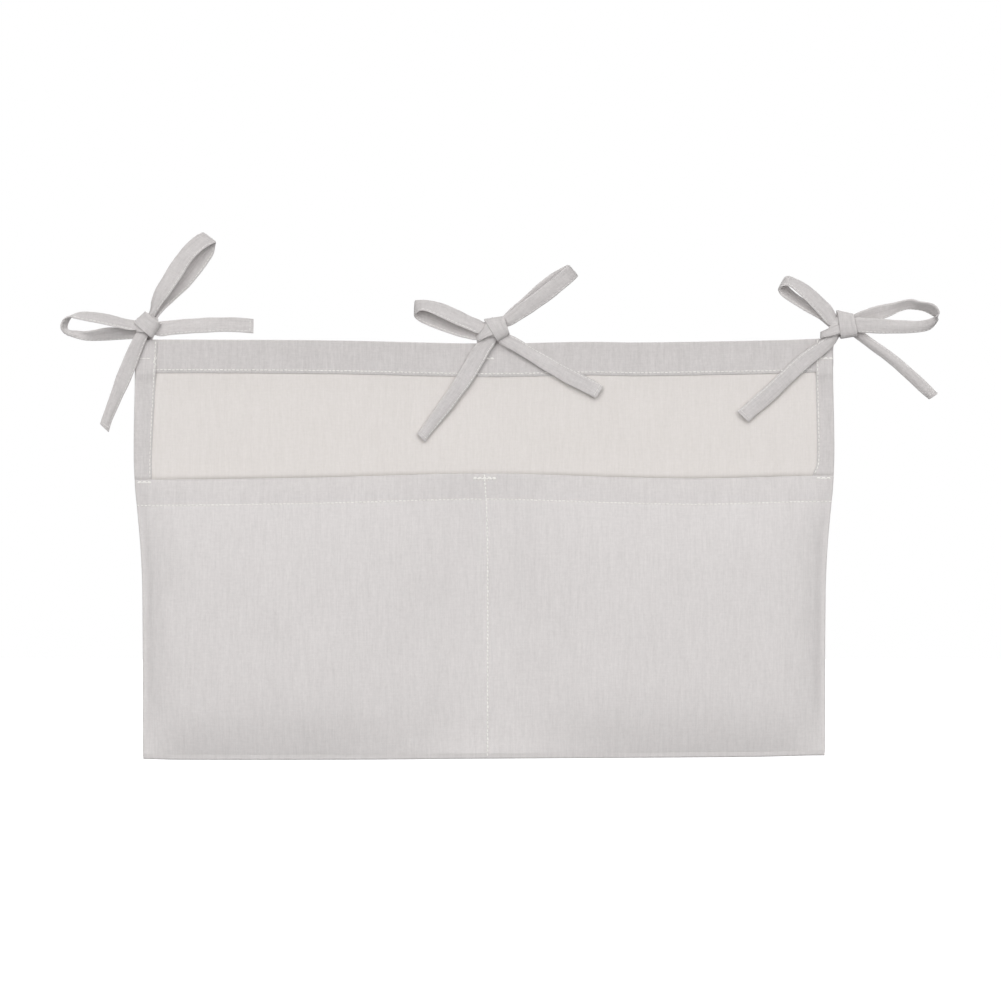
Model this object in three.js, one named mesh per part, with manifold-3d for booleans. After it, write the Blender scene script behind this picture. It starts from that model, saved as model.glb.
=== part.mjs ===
// Bedside caddy: a cloth panel that is tied to a bed rail by three bows, with two flat pockets.
// Millimetres. +X to the right, +Z up, the front faces -Y.
// The origin is the middle of the top edge, on the rear face of the back panel.

import * as THREE from 'three';
import { mergeVertices } from 'three/addons/utils/BufferGeometryUtils.js';
import Module from 'manifold-3d';

const wasm = await Module();
wasm.setup();

// Cloth and thread
const clothThickness = 0.8;
const layerGap = 0.3;
const threadWidth = 0.7;
const threadDepth = 0.4;
const tackWidth = 1.1;

// Panel
const panelWidth = 500;
const panelDrop = 300;
const edgeWander = 3;
const sideDrawIn = 5;
const topHemDepth = 24;
const topHemStitchInset = 2.2;
const sideHemWidth = 12.5;
const sideHemStitchInset = 1.3;
const leftHemFlare = 3.5;
const sideHemStep = 6;

// Pockets
const pocketRimDrop = 98;
const pocketHemDepth = 20;
const pocketHemStitchDrop = 18.5;
const pocketBelly = 7;
const seamAllowance = 10;
const sideMargin = 13;
const centreMargin = 11;
const bottomFoldHeight = 4;
const seamSettle = 12;
const seamShift = 2.5;
const rimTackLength = 17;
const rimTackDrop = 3.5;
const cornerTackLength = 10.5;
const cornerTackDrop = 1.8;
const cornerTackInset = 1.5;

// Ties
const strapWidth = 12;
const strapThickness = 1.6;
const anchorBelowTack = 5.5;
const anchorTackDrop = 12.5;
const anchorTackLength = 11;
const anchorEntry = 2.5;
const knotLevel = -6;
const knotDepth = 11;
const tailNub = 1.5;
const loopNub = 2.5;
const tailSwing = 60;
const loopSwing = 35;
const knotClearance = 16;

// How far each loop and tail reaches from its knot, and how far some lie behind or before its centre
const loopLeftUpperReach = 76;
const loopLeftOuterReach = 61.5;
const tailLeftInnerReach = 76;
const tailLeftLowerReach = 80.5;
const loopCentreUpperReach = 71.5;
const loopCentreOuterReach = 58;
const tailCentreLeftReach = 95;
const tailCentreRightReach = 87.5;
const loopRightUpperReach = 52;
const loopRightOuterReach = 70.5;
const tailRightOuterReach = 84;
const tailRightInnerReach = 96.5;
const innerTailSetBack = 2.5;
const hiddenTailSetBack = 3.2;
const restingTailSetBack = 0.5;
const frontLoopSetForward = 1;

const halfWidth = panelWidth / 2;

// A knot: how far it lies from its end of the panel, its rise above the top edge, and its wraps.
// Shifts are to the right. Headings are in degrees in the plane of the panel, 0 to the right.
const leftKnot = {
  from: -halfWidth, shift: 9.2, rise: 11.3, anchorShift: 5.5,
  bandHeading: -40, bandLength: 16, bandShift: 0, coreHeading: 40, coreLength: 21, coreHeight: 15,
};
const centreKnot = {
  from: 0, shift: 7.2, rise: 8.1, anchorShift: 2,
  bandHeading: -57, bandLength: 18, bandShift: 1.5, coreHeading: 15, coreLength: 23, coreHeight: 15,
};
const rightKnot = {
  from: halfWidth, shift: 6, rise: 10.9, anchorShift: -5.2,
  bandHeading: -86, bandLength: 19, bandShift: 3.6, coreHeading: 5, coreLength: 26, coreHeight: 15,
};

// A limb's stations: along, aside and nearness to the viewer (shares of its reach), tilt of the strap
// about its length (degrees), and width (share of the strap's width).
const limbs = [
  {
    name: 'loop_left_upper', knot: leftKnot, loop: true,
    heading: 53.8, reach: loopLeftUpperReach, level: 0,
    stationShares: [
      [0.14, 0.02, 0.018, 0, 0.6], [0.24, 0.049, 0.045, 8, 0.8], [0.34, 0.058, 0.06, 10, 0.93],
      [0.46, 0.064, 0.07, 12, 1], [0.57, 0.066, 0.072, 12, 1.06], [0.68, 0.066, 0.068, 10, 1.1],
      [0.8, 0.06, 0.055, 8, 1.1], [0.9, 0.045, 0.035, 6, 1.1], [0.98, 0.011, 0, 5, 1.04],
      [0.93, -0.03, -0.03, 15, 1], [0.8, -0.048, -0.05, 32, 1], [0.68, -0.048, -0.06, 40, 1],
      [0.57, -0.045, -0.058, 40, 1], [0.46, -0.035, -0.05, 36, 1], [0.34, -0.02, -0.04, 28, 0.95],
      [0.24, -0.01, -0.03, 14, 0.85], [0.14, 0, -0.018, 0, 0.65],
    ],
  },
  {
    name: 'loop_left_outer', knot: leftKnot, loop: true,
    heading: 180, reach: loopLeftOuterReach, level: 0,
    stationShares: [
      [0.16, -0.01, 0.018, 0, 0.7], [0.24, -0.03, 0.04, 20, 0.85], [0.36, -0.045, 0.06, 36, 0.95],
      [0.48, -0.066, 0.065, 46, 1], [0.6, -0.08, 0.06, 52, 1], [0.72, -0.1, 0.045, 58, 1],
      [0.83, -0.108, 0.035, 66, 1], [0.92, -0.085, 0.02, 74, 1], [0.98, -0.01, 0, 84, 1],
      [0.92, 0.08, -0.02, 72, 1], [0.83, 0.106, -0.035, 64, 1], [0.72, 0.116, -0.045, 55, 1],
      [0.6, 0.112, -0.06, 46, 1], [0.48, 0.1, -0.065, 42, 1], [0.36, 0.09, -0.06, 34, 0.95],
      [0.24, 0.07, -0.04, 18, 0.85], [0.16, 0.04, -0.018, 0, 0.7],
    ],
  },
  {
    name: 'tail_left_inner', knot: leftKnot, loop: false,
    heading: 0.8, reach: tailLeftInnerReach, level: innerTailSetBack,
    stationShares: [
      [0.13, -0.03, 0, 0, 0.9], [0.32, -0.02, 0, 0, 0.96], [0.55, -0.013, 0, 0, 0.93],
      [0.77, -0.014, 0, 0, 0.92], [1, -0.029, 0, 0, 0.88],
    ],
  },
  {
    name: 'tail_left_lower', knot: leftKnot, loop: false, overPanel: true,
    heading: -112.4, reach: tailLeftLowerReach, level: 0,
    stationShares: [
      [0.14, 0.012, 0, 0, 0.8], [0.2, 0.012, 0, 4, 0.96], [0.31, 0.01, 0, 8, 1], [0.44, 0.003, 0, 14, 1],
      [0.56, -0.006, 0, 32, 1], [0.68, -0.009, 0, 38, 1], [0.8, -0.009, 0, 44, 1], [1, 0, 0, 48, 1],
    ],
  },
  {
    name: 'loop_centre_upper', knot: centreKnot, loop: true,
    heading: 35.4, reach: loopCentreUpperReach, level: 0,
    stationShares: [
      [0.16, -0.02, 0.016, 0, 0.62], [0.28, -0.012, 0.03, 5, 0.85], [0.39, -0.003, 0.045, 8, 0.98],
      [0.5, -0.009, 0.05, 10, 0.95], [0.63, -0.008, 0.05, 12, 0.95], [0.77, 0, 0.042, 14, 0.93],
      [0.89, 0.006, 0.03, 18, 0.92], [0.97, 0.02, 0, 22, 0.9], [0.9, 0.048, -0.025, 26, 0.92],
      [0.8, 0.058, -0.04, 32, 0.95], [0.7, 0.056, -0.045, 33, 0.95], [0.56, 0.045, -0.045, 30, 0.95],
      [0.42, 0.03, -0.04, 22, 0.92], [0.28, 0.01, -0.03, 12, 0.8], [0.16, -0.01, -0.016, 0, 0.62],
    ],
  },
  {
    name: 'loop_centre_outer', knot: centreKnot, loop: true,
    heading: 165.6, reach: loopCentreOuterReach, level: 0,
    stationShares: [
      [0.2, 0.008, 0.02, 0, 0.75], [0.3, 0.002, 0.04, 5, 0.97], [0.45, -0.02, 0.06, 12, 0.97],
      [0.58, -0.045, 0.07, 25, 0.97], [0.7, -0.068, 0.07, 38, 0.97], [0.82, -0.075, 0.065, 42, 0.97],
      [0.93, -0.05, 0.045, 30, 1], [0.975, -0.01, 0, 18, 0.97], [0.91, 0.04, -0.04, 22, 0.97],
      [0.83, 0.068, -0.06, 30, 1], [0.72, 0.085, -0.07, 35, 1], [0.58, 0.1, -0.065, 35, 1],
      [0.45, 0.105, -0.055, 28, 1], [0.3, 0.08, -0.04, 12, 0.9], [0.2, 0.04, -0.02, 0, 0.75],
    ],
  },
  {
    name: 'tail_centre_left', knot: centreKnot, loop: false, overPanel: true,
    heading: -123.3, reach: tailCentreLeftReach, level: restingTailSetBack,
    stationShares: [
      [0.11, 0, 0, 0, 0.8], [0.18, 0.006, 0, 6, 0.92], [0.27, 0.012, 0, 10, 0.9],
      [0.35, 0.015, 0, 14, 0.88],
      [0.46, 0.015, 0, 18, 0.84], [0.6, 0.01, 0, 18, 0.84], [0.75, 0.006, 0, 18, 0.84], [1, 0, 0, 18, 0.8],
    ],
  },
  {
    name: 'tail_centre_right', knot: centreKnot, loop: false, overPanel: true,
    heading: -30.2, reach: tailCentreRightReach, level: restingTailSetBack,
    stationShares: [
      [0.12, -0.02, 0, 0, 0.75], [0.2, -0.01, 0, 6, 0.84], [0.32, -0.007, 0, 8, 0.82],
      [0.47, -0.008, 0, 8, 0.82],
      [0.68, -0.003, 0, 6, 0.92], [0.86, -0.001, 0, 5, 0.96], [1, -0.006, 0, 5, 0.9],
    ],
  },
  {
    name: 'loop_right_upper', knot: rightKnot, loop: true,
    heading: 145.6, reach: loopRightUpperReach, level: 0,
    stationShares: [
      [0.22, -0.02, 0.02, 0, 0.85], [0.32, -0.03, 0.04, 8, 0.87], [0.46, -0.058, 0.055, 15, 0.92],
      [0.6, -0.083, 0.065, 25, 0.93], [0.75, -0.096, 0.065, 38, 0.95], [0.88, -0.09, 0.05, 40, 0.95],
      [0.97, -0.04, 0, 22, 0.95], [0.9, 0.022, -0.035, 26, 0.93], [0.81, 0.045, -0.055, 36, 0.95],
      [0.68, 0.05, -0.06, 40, 0.95], [0.54, 0.042, -0.055, 36, 0.92], [0.4, 0.03, -0.045, 24, 0.88],
      [0.3, 0.015, -0.035, 10, 0.85], [0.22, 0, -0.02, 0, 0.8],
    ],
  },
  {
    name: 'loop_right_outer', knot: rightKnot, loop: true,
    heading: 7.9, reach: loopRightOuterReach, level: -frontLoopSetForward,
    stationShares: [
      [0.2, -0.02, 0.016, 0, 0.85], [0.27, -0.045, 0.04, 8, 0.9], [0.36, -0.058, 0.06, 15, 0.93],
      [0.48, -0.075, 0.07, 25, 0.95], [0.6, -0.095, 0.072, 35, 0.95], [0.72, -0.113, 0.065, 42, 0.95],
      [0.84, -0.115, 0.05, 50, 0.95], [0.94, -0.085, 0.03, 62, 0.95], [0.98, -0.02, 0, 78, 0.95],
      [0.95, 0.04, -0.02, 70, 0.95], [0.88, 0.075, -0.035, 58, 0.95], [0.78, 0.105, -0.045, 48, 0.95],
      [0.68, 0.118, -0.045, 44, 0.97], [0.55, 0.107, -0.045, 38, 0.95], [0.42, 0.08, -0.04, 26, 0.93],
      [0.3, 0.04, -0.03, 10, 0.88], [0.2, 0, -0.016, 0, 0.8],
    ],
  },
  {
    name: 'tail_right_outer', knot: rightKnot, loop: false,
    heading: -35.9, reach: tailRightOuterReach, level: hiddenTailSetBack,
    stationShares: [
      [0.17, 0.02, 0, 0, 0.8], [0.26, 0.032, 0, 30, 0.95], [0.35, 0.03, 0, 44, 0.95],
      [0.47, 0.033, 0, 47, 0.95],
      [0.58, 0.032, 0, 47, 0.95], [0.69, 0.026, 0, 47, 0.95], [0.8, 0.014, 0, 47, 0.95],
      [0.9, 0, 0, 47, 0.95],
      [1, -0.012, 0, 47, 0.95],
    ],
  },
  {
    name: 'tail_right_inner', knot: rightKnot, loop: false, overPanel: true,
    heading: -136.9, reach: tailRightInnerReach, level: -restingTailSetBack,
    stationShares: [
      [0.115, 0.02, 0, 0, 0.8], [0.2, 0.02, 0, 0, 0.86], [0.31, 0.014, 0, 0, 0.9],
      [0.45, 0.005, 0, 0, 0.92],
      [0.6, 0.005, 0, 0, 0.95], [0.75, 0.005, 0, 0, 1], [0.88, 0.004, 0, 0, 1.02], [1, 0.001, 0, 0, 0.98],
    ],
  },
];

// Colours
const greyCloth = new THREE.Color('#d3cfcd');
const paleCloth = new THREE.Color('#ddd8d4');
const strapCloth = new THREE.Color('#cac6c5');
const threadColour = new THREE.Color('#efebe8');

// Edge tables: place across or down the panel, then the offset, both as shares
const topWanderShares = [
  [-1, 0.35], [-0.45, 0.15], [0, -0.6], [0.3, -0.2], [0.45, -0.35], [0.85, 0.2], [1, 0.6],
];
const rimWanderShares = [[-1, -0.5], [-0.5, 0], [0, 1], [0.4, 0.1], [0.62, -0.2], [1, 0.5]];
const bottomWanderShares = [
  [-1, 0.1], [-0.9, -0.1], [-0.4, -0.1], [0, 0.15], [0.5, 0.4], [0.8, 0.6], [1, 0.95],
];
const drawInShares = [[0, 0], [0.25, -0.25], [0.34, -0.1], [0.42, 0.35], [0.5, 0.75], [0.6, 1], [1, 1.1]];
const seamShiftShares = [[0, 0], [0.3, 0.3], [0.5, 1], [1, 1]];

// Belly of a pocket: from its side margin to the centre margin, and from the bottom fold to the rim
const bellyAcrossShares = [
  [0, 0], [0.08, 0.36], [0.16, 0.68], [0.28, 0.92], [0.45, 1], [0.65, 0.96], [0.85, 0.6], [1, 0],
];
const bellyUpShares = [[0, 0], [0.08, 0.4], [0.16, 0.68], [0.28, 0.9], [0.45, 1], [1, 1]];

// Grid counts
const panelColumns = 20;
const panelRows = 12;
const pocketColumns = 14;
const pocketRows = 12;
const stripColumns = 20;
const stripRows = 10;
const seamRows = 20;
const roundSides = 12;
const bandSides = 28;
const coreRings = 10;
const loopSteps = 44;
const tailSteps = 14;
const anchorSteps = 8;

// A row of stitches stops this share of its length short of each end
const stitchEndShare = 0.01;

const quarterTurn = 90;

// Levels from the rear face forward, in layers of cloth
const panelFront = -clothThickness;
const hemBack = panelFront - layerGap;
const hemFront = hemBack - clothThickness;
const cornerBack = hemFront - layerGap;
const seamFront = cornerBack - clothThickness;
const allowanceFront = hemBack - 2 * clothThickness;
const pocketFront = allowanceFront - layerGap - clothThickness;

const { degToRad, smoothstep } = THREE.MathUtils;
const mix = (a, b, t) => a + (b - a) * t;

// A smooth reading of a table of shares, with flat ends
function readShares(shares, at) {
  const last = shares.length - 1;
  if (at <= shares[0][0]) return shares[0][1];
  if (at >= shares[last][0]) return shares[last][1];
  const i = shares.findIndex((row, k) => k < last && at < shares[k + 1][0]);
  const slope = (k) => {
    if (k === 0 || k === last) return 0;
    return (shares[k + 1][1] - shares[k - 1][1]) / (shares[k + 1][0] - shares[k - 1][0]);
  };
  const span = shares[i + 1][0] - shares[i][0];
  const t = (at - shares[i][0]) / span;
  const rise = shares[i + 1][1] - shares[i][1];
  const start = slope(i) * span;
  const end = slope(i + 1) * span;
  return shares[i][1] + t * (start + t * (3 * rise - 2 * start - end + t * (start + end - 2 * rise)));
}

// Outline of the panel
const topEdge = (x) => edgeWander * readShares(topWanderShares, x / halfWidth);
const rimEdge = (x) => -pocketRimDrop + edgeWander * readShares(rimWanderShares, x / halfWidth);
const bottomEdge = (x) => -panelDrop + edgeWander * readShares(bottomWanderShares, x / halfWidth);
const sideEdge = (z) => halfWidth - sideDrawIn * readShares(drawInShares, -z / panelDrop);
const seamLine = (z) => seamShift * readShares(seamShiftShares, -z / panelDrop);
const topHemEdge = (x) => topEdge(x) - topHemDepth;
const foldTop = (x) => bottomEdge(x) + bottomFoldHeight;

// A closed mesh from a list of points and a list of triangles, turned so that its faces look out
function closedMesh(points, faces) {
  let volume = 0;
  const corner = [new THREE.Vector3(), new THREE.Vector3(), new THREE.Vector3()];
  for (const face of faces) {
    face.forEach((index, k) => corner[k].fromArray(points[index]));
    volume += corner[0].dot(corner[1].cross(corner[2]));
  }
  const ordered = volume > 0 ? faces : faces.map(([a, b, c]) => [a, c, b]);
  const geometry = new THREE.BufferGeometry();
  geometry.setAttribute('position', new THREE.Float32BufferAttribute(points.flat(), 3));
  geometry.setIndex(ordered.flat());
  return geometry;
}

// A closed solid between two like grids of points: near(u, v) and far(u, v), with u and v from 0 to 1
function gridSolid(columns, rows, near, far) {
  const points = [];
  const faces = [];
  const side = (columns + 1) * (rows + 1);
  for (const surface of [near, far]) {
    for (let r = 0; r <= rows; r += 1) {
      for (let c = 0; c <= columns; c += 1) points.push(surface(c / columns, r / rows));
    }
  }
  const at = (c, r) => r * (columns + 1) + c;
  for (let r = 0; r < rows; r += 1) {
    for (let c = 0; c < columns; c += 1) {
      const [a, b, d, e] = [at(c, r), at(c + 1, r), at(c + 1, r + 1), at(c, r + 1)];
      faces.push([a, b, d], [a, d, e], [side + a, side + d, side + b], [side + a, side + e, side + d]);
    }
  }
  const rim = [];
  for (let c = 0; c < columns; c += 1) rim.push(at(c, 0));
  for (let r = 0; r < rows; r += 1) rim.push(at(columns, r));
  for (let c = columns; c > 0; c -= 1) rim.push(at(c, rows));
  for (let r = rows; r > 0; r -= 1) rim.push(at(0, r));
  rim.forEach((a, k) => {
    const b = rim[(k + 1) % rim.length];
    faces.push([a, side + a, side + b], [a, side + b, b]);
  });
  return closedMesh(points, faces);
}

// A layer of cloth: place(u, v) gives x and z, and front(x, z, u, v) its front face
function layer(columns, rows, place, front, thickness = clothThickness) {
  const face = (offset) => (u, v) => {
    const [x, z] = place(u, v);
    return [x, front(x, z, u, v) + offset, z];
  };
  return gridSolid(columns, rows, face(0), face(thickness));
}

// A row of thread on the cloth behind it: line(u) gives x and z, and cloth(x, z) the cloth's front face
function threadRow(steps, line, cloth, upright, width = threadWidth) {
  const place = (u, v) => {
    const [x, z] = line(u);
    const offset = mix(-width / 2, width / 2, v);
    return upright ? [x + offset, z] : [x, z + offset];
  };
  const front = (x, z) => cloth(x, z) - layerGap - threadDepth;
  return layer(steps, 1, place, front, threadDepth);
}

function toManifold(geometry) {
  const bare = geometry.clone();
  bare.deleteAttribute('normal');
  bare.deleteAttribute('uv');
  const merged = mergeVertices(bare);
  return new wasm.Manifold(new wasm.Mesh({
    numProp: 3,
    vertProperties: new Float32Array(merged.attributes.position.array),
    triVerts: new Uint32Array(merged.index.array),
  }));
}

function fromManifold(solid) {
  const mesh = solid.getMesh();
  const geometry = new THREE.BufferGeometry();
  geometry.setAttribute('position', new THREE.BufferAttribute(new Float32Array(mesh.vertProperties), 3));
  geometry.setIndex(Array.from(mesh.triVerts));
  return geometry;
}

const join = (solids) => solids.reduce((whole, solid) => whole.add(solid));

const part = new THREE.Group();

function addNode(name, geometry, colour) {
  const material = new THREE.MeshStandardMaterial({ color: colour, roughness: 0.95, metalness: 0 });
  const mesh = new THREE.Mesh(geometry, material);
  mesh.name = name;
  part.add(mesh);
}

// Back panel
const acrossPanel = (top, bottom) => (u, v) => {
  const guess = mix(-halfWidth, halfWidth, u);
  const z = mix(top(guess), bottom(guess), v);
  return [mix(-sideEdge(z), sideEdge(z), u), z];
};
const backPlace = acrossPanel(topEdge, foldTop);
addNode('back_panel', layer(panelColumns, panelRows, backPlace, () => panelFront), paleCloth);

// Bottom fold: the cloth turns up here from the back panel to the pocket cloth
function bottomFold() {
  const lip = (x) => foldTop(x) - layerGap;
  const inner = (x) => bottomEdge(x) + clothThickness;
  const backLeg = layer(stripColumns, 1, acrossPanel(lip, bottomEdge), () => panelFront);
  const frontLeg = layer(stripColumns, 1, acrossPanel(lip, bottomEdge), () => pocketFront);
  const floor = layer(stripColumns, 1, acrossPanel(inner, bottomEdge), () => pocketFront, -pocketFront);
  return fromManifold(join([backLeg, frontLeg, floor].map(toManifold)));
}
addNode('bottom_fold', bottomFold(), greyCloth);

// Top hem, turned to the front
const onTopHem = () => hemFront;
addNode('top_hem', layer(panelColumns, 2, acrossPanel(topEdge, topHemEdge), onTopHem), greyCloth);
function topHemStitch(u) {
  const reach = halfWidth - sideHemWidth - leftHemFlare;
  const x = mix(-reach, reach, u);
  return [x, topHemEdge(x) + topHemStitchInset];
}
addNode('top_hem_thread', threadRow(stripColumns, topHemStitch, onTopHem, false), threadColour);

// A side hem lies over the top hem at the corner and steps back to the panel below it
function sideHemFront(x, z) {
  const below = topHemEdge(x) - layerGap - z;
  return mix(cornerBack, hemBack, smoothstep(below, 0, sideHemStep)) - clothThickness;
}

// Level of the pocket cloth where it is sewn down: over the seam allowance, or straight on the back panel
const onSideMargin = () => pocketFront;
const onCentreMargin = (x, z) => mix(pocketFront, seamFront, smoothstep(z - foldTop(x), 0, seamSettle));

// A sewn margin from the pocket's rim, or just below it, down to the bottom fold
const margin = (outer, inner, top) => (u, v) => {
  const guess = outer(-pocketRimDrop);
  const z = mix(top(guess), foldTop(guess), v);
  return [mix(outer(z), inner(z), u), z];
};

function addSide(word, side) {
  const flare = (z) => (side < 0 ? leftHemFlare * Math.max(0, 1 + z / pocketRimDrop) : 0);
  const outer = (z) => side * sideEdge(z);
  const hemInner = (z) => side * (sideEdge(z) - sideHemWidth - flare(z));
  const allowanceInner = (z) => side * (sideEdge(z) - seamAllowance);
  const marginInner = (z) => side * (sideEdge(z) - sideMargin);
  const hemPlace = (u, v) => {
    const guess = side * mix(halfWidth, halfWidth - sideHemWidth, u);
    const z = mix(topEdge(guess), rimEdge(guess) + layerGap, v);
    return [mix(outer(z), hemInner(z), u), z];
  };
  const hemStitch = (u) => {
    const guess = side * (halfWidth - sideHemWidth);
    const z = mix(topEdge(guess) - threadWidth, rimEdge(guess) + threadWidth, u);
    return [hemInner(z) + side * sideHemStitchInset, z];
  };
  const allowanceTop = (x) => rimEdge(x) - layerGap;
  const tackLine = (u) => {
    const x = side * (halfWidth - cornerTackInset - mix(0, cornerTackLength, u));
    return [x, rimEdge(x) - cornerTackDrop];
  };
  addNode(`side_hem_${word}`, layer(2, seamRows, hemPlace, sideHemFront), greyCloth);
  addNode(`side_hem_thread_${word}`, threadRow(seamRows, hemStitch, sideHemFront, true), threadColour);
  const allowance = margin(outer, allowanceInner, allowanceTop);
  const folded = 2 * clothThickness;
  addNode(`seam_allowance_${word}`, layer(1, stripRows, allowance, () => allowanceFront, folded), greyCloth);
  const sewn = margin(outer, marginInner, rimEdge);
  addNode(`side_margin_${word}`, layer(1, stripRows, sewn, onSideMargin), greyCloth);
  addNode(`corner_tack_${word}`, threadRow(1, tackLine, onSideMargin, false, tackWidth), threadColour);
}
addSide('left', -1);
addSide('right', 1);

// Centre seam between the two pockets
const seamLeft = (z) => seamLine(z) - centreMargin;
const seamRight = (z) => seamLine(z) + centreMargin;
addNode('centre_margin', layer(2, seamRows, margin(seamLeft, seamRight, rimEdge), onCentreMargin), greyCloth);
function seamStitch(u) {
  const z = mix(rimEdge(0), bottomEdge(0) + threadWidth, u);
  return [seamLine(z), z];
}
addNode('centre_seam_thread', threadRow(seamRows, seamStitch, onCentreMargin, true), threadColour);
function rimTack(u) {
  const z = rimEdge(0) - rimTackDrop;
  return [seamLine(z) + mix(-rimTackLength / 2, rimTackLength / 2, u), z];
}
const onSeamThread = (x, z) => onCentreMargin(x, z) - layerGap - threadDepth;
addNode('centre_rim_tack', threadRow(2, rimTack, onSeamThread, false, tackWidth), threadColour);

// Pocket cloth between its sewn margins, with its rim hem turned to the inside
function addPocket(word, side) {
  const outer = (z) => side * (sideEdge(z) - sideMargin - layerGap);
  const inner = (z) => seamLine(z) + side * (centreMargin + layerGap);
  const place = (top, bottom) => (u, v) => {
    const guess = mix(outer(-pocketRimDrop), inner(-pocketRimDrop), u);
    const z = mix(top(guess), bottom(guess), v);
    return [mix(outer(z), inner(z), u), z];
  };
  const front = (x, z) => {
    const across = (x - outer(z)) / (inner(z) - outer(z));
    const up = (z - foldTop(x)) / (rimEdge(x) - foldTop(x));
    const base = mix(pocketFront, onCentreMargin(x, z), smoothstep(across, 0, 1));
    return base - pocketBelly * readShares(bellyAcrossShares, across) * readShares(bellyUpShares, up);
  };
  const hemTop = (x) => rimEdge(x) - layerGap;
  const hemBottom = (x) => rimEdge(x) - pocketHemDepth;
  const hemFace = (x, z) => front(x, z) + clothThickness + layerGap;
  const stitch = (u) => {
    const x = mix(outer(-pocketRimDrop), inner(-pocketRimDrop), mix(stitchEndShare, 1 - stitchEndShare, u));
    return [x, rimEdge(x) - pocketHemStitchDrop];
  };
  const sheet = layer(pocketColumns, pocketRows, place(rimEdge, foldTop), front);
  addNode(`pocket_front_${word}`, sheet, greyCloth);
  addNode(`pocket_hem_${word}`, layer(pocketColumns, 2, place(hemTop, hemBottom), hemFace), greyCloth);
  addNode(`pocket_hem_thread_${word}`, threadRow(stripColumns, stitch, front, false), threadColour);
}
addPocket('left', -1);
addPocket('right', 1);

// Directions in the plane of the panel
const planeDirection = (degrees) => {
  const angle = degToRad(degrees);
  return new THREE.Vector3(Math.cos(angle), 0, Math.sin(angle));
};
const towardsBack = new THREE.Vector3(0, 1, 0);
const knotCentre = (knot) => new THREE.Vector3(knot.from + knot.shift, knotLevel, knot.rise);

// A ribbon with bevelled edges through frames of { at, across, normal, width }
function ribbon(frames, thickness) {
  const points = [];
  const faces = [];
  for (const { at, across, normal, width } of frames) {
    const flat = width / 2 - thickness / 2;
    const ring = [
      [width / 2, 0], [flat, thickness / 2], [-flat, thickness / 2],
      [-width / 2, 0], [-flat, -thickness / 2], [flat, -thickness / 2],
    ];
    for (const [a, b] of ring) {
      points.push(at.clone().addScaledVector(across, a).addScaledVector(normal, b).toArray());
    }
  }
  const sides = 6;
  const last = (frames.length - 1) * sides;
  for (let i = 0; i < frames.length - 1; i += 1) {
    for (let k = 0; k < sides; k += 1) {
      const [a, b] = [i * sides + k, i * sides + (k + 1) % sides];
      faces.push([a, b, b + sides], [a, b + sides, a + sides]);
    }
  }
  for (let k = 1; k < sides - 1; k += 1) faces.push([0, k + 1, k], [last, last + k, last + k + 1]);
  return closedMesh(points, faces);
}

// Frames along a limb, from its stations
function limbFrames(limb) {
  const along = planeDirection(limb.heading);
  const aside = planeDirection(limb.heading + quarterTurn);
  const origin = knotCentre(limb.knot).addScaledVector(towardsBack, limb.level);
  const stations = limb.stationShares;
  const route = new THREE.CatmullRomCurve3(stations.map(([a, s, near]) => origin.clone()
    .addScaledVector(along, a * limb.reach)
    .addScaledVector(aside, s * limb.reach)
    .addScaledVector(towardsBack, -near * limb.reach)), false, 'centripetal');
  const steps = limb.loop ? loopSteps : tailSteps;
  const frames = [];
  for (let i = 0; i <= steps; i += 1) {
    const t = i / steps;
    const place = t * (stations.length - 1);
    const k = Math.min(Math.floor(place), stations.length - 2);
    const tilt = degToRad(mix(stations[k][3], stations[k + 1][3], place - k));
    const width = strapWidth * mix(stations[k][4], stations[k + 1][4], place - k);
    const ahead = route.getTangent(t);
    const across = aside.clone().multiplyScalar(Math.cos(tilt)).addScaledVector(towardsBack, Math.sin(tilt));
    across.addScaledVector(ahead, -across.dot(ahead)).normalize();
    frames.push({ at: route.getPoint(t), across, normal: ahead.clone().cross(across), width });
  }
  return frames;
}

// The rounded root of a limb, on the axis that it swings about
function limbHinge(limb) {
  const first = limb.stationShares[0];
  const last = limb.loop ? limb.stationShares.at(-1) : first;
  const share = (first[1] + last[1]) / 2;
  const aside = planeDirection(limb.heading + quarterTurn);
  const at = knotCentre(limb.knot)
    .addScaledVector(planeDirection(limb.heading), first[0] * limb.reach)
    .addScaledVector(aside, share * limb.reach)
    .addScaledVector(towardsBack, limb.level);
  const spread = Math.abs(first[1] - last[1]) * limb.reach;
  const width = strapWidth * Math.max(first[4], last[4]) + spread;
  return { at, aside, width, nub: limb.loop ? loopNub : tailNub };
}

function rod(at, axis, radius, length) {
  const geometry = new THREE.CylinderGeometry(radius, radius, length, roundSides);
  geometry.applyQuaternion(new THREE.Quaternion().setFromUnitVectors(new THREE.Vector3(0, 1, 0), axis));
  geometry.translate(at.x, at.y, at.z);
  return toManifold(geometry);
}

function limbSolid(limb) {
  const { at, aside, width, nub } = limbHinge(limb);
  return fromManifold(toManifold(ribbon(limbFrames(limb), strapThickness)).add(rod(at, aside, nub, width)));
}

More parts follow.
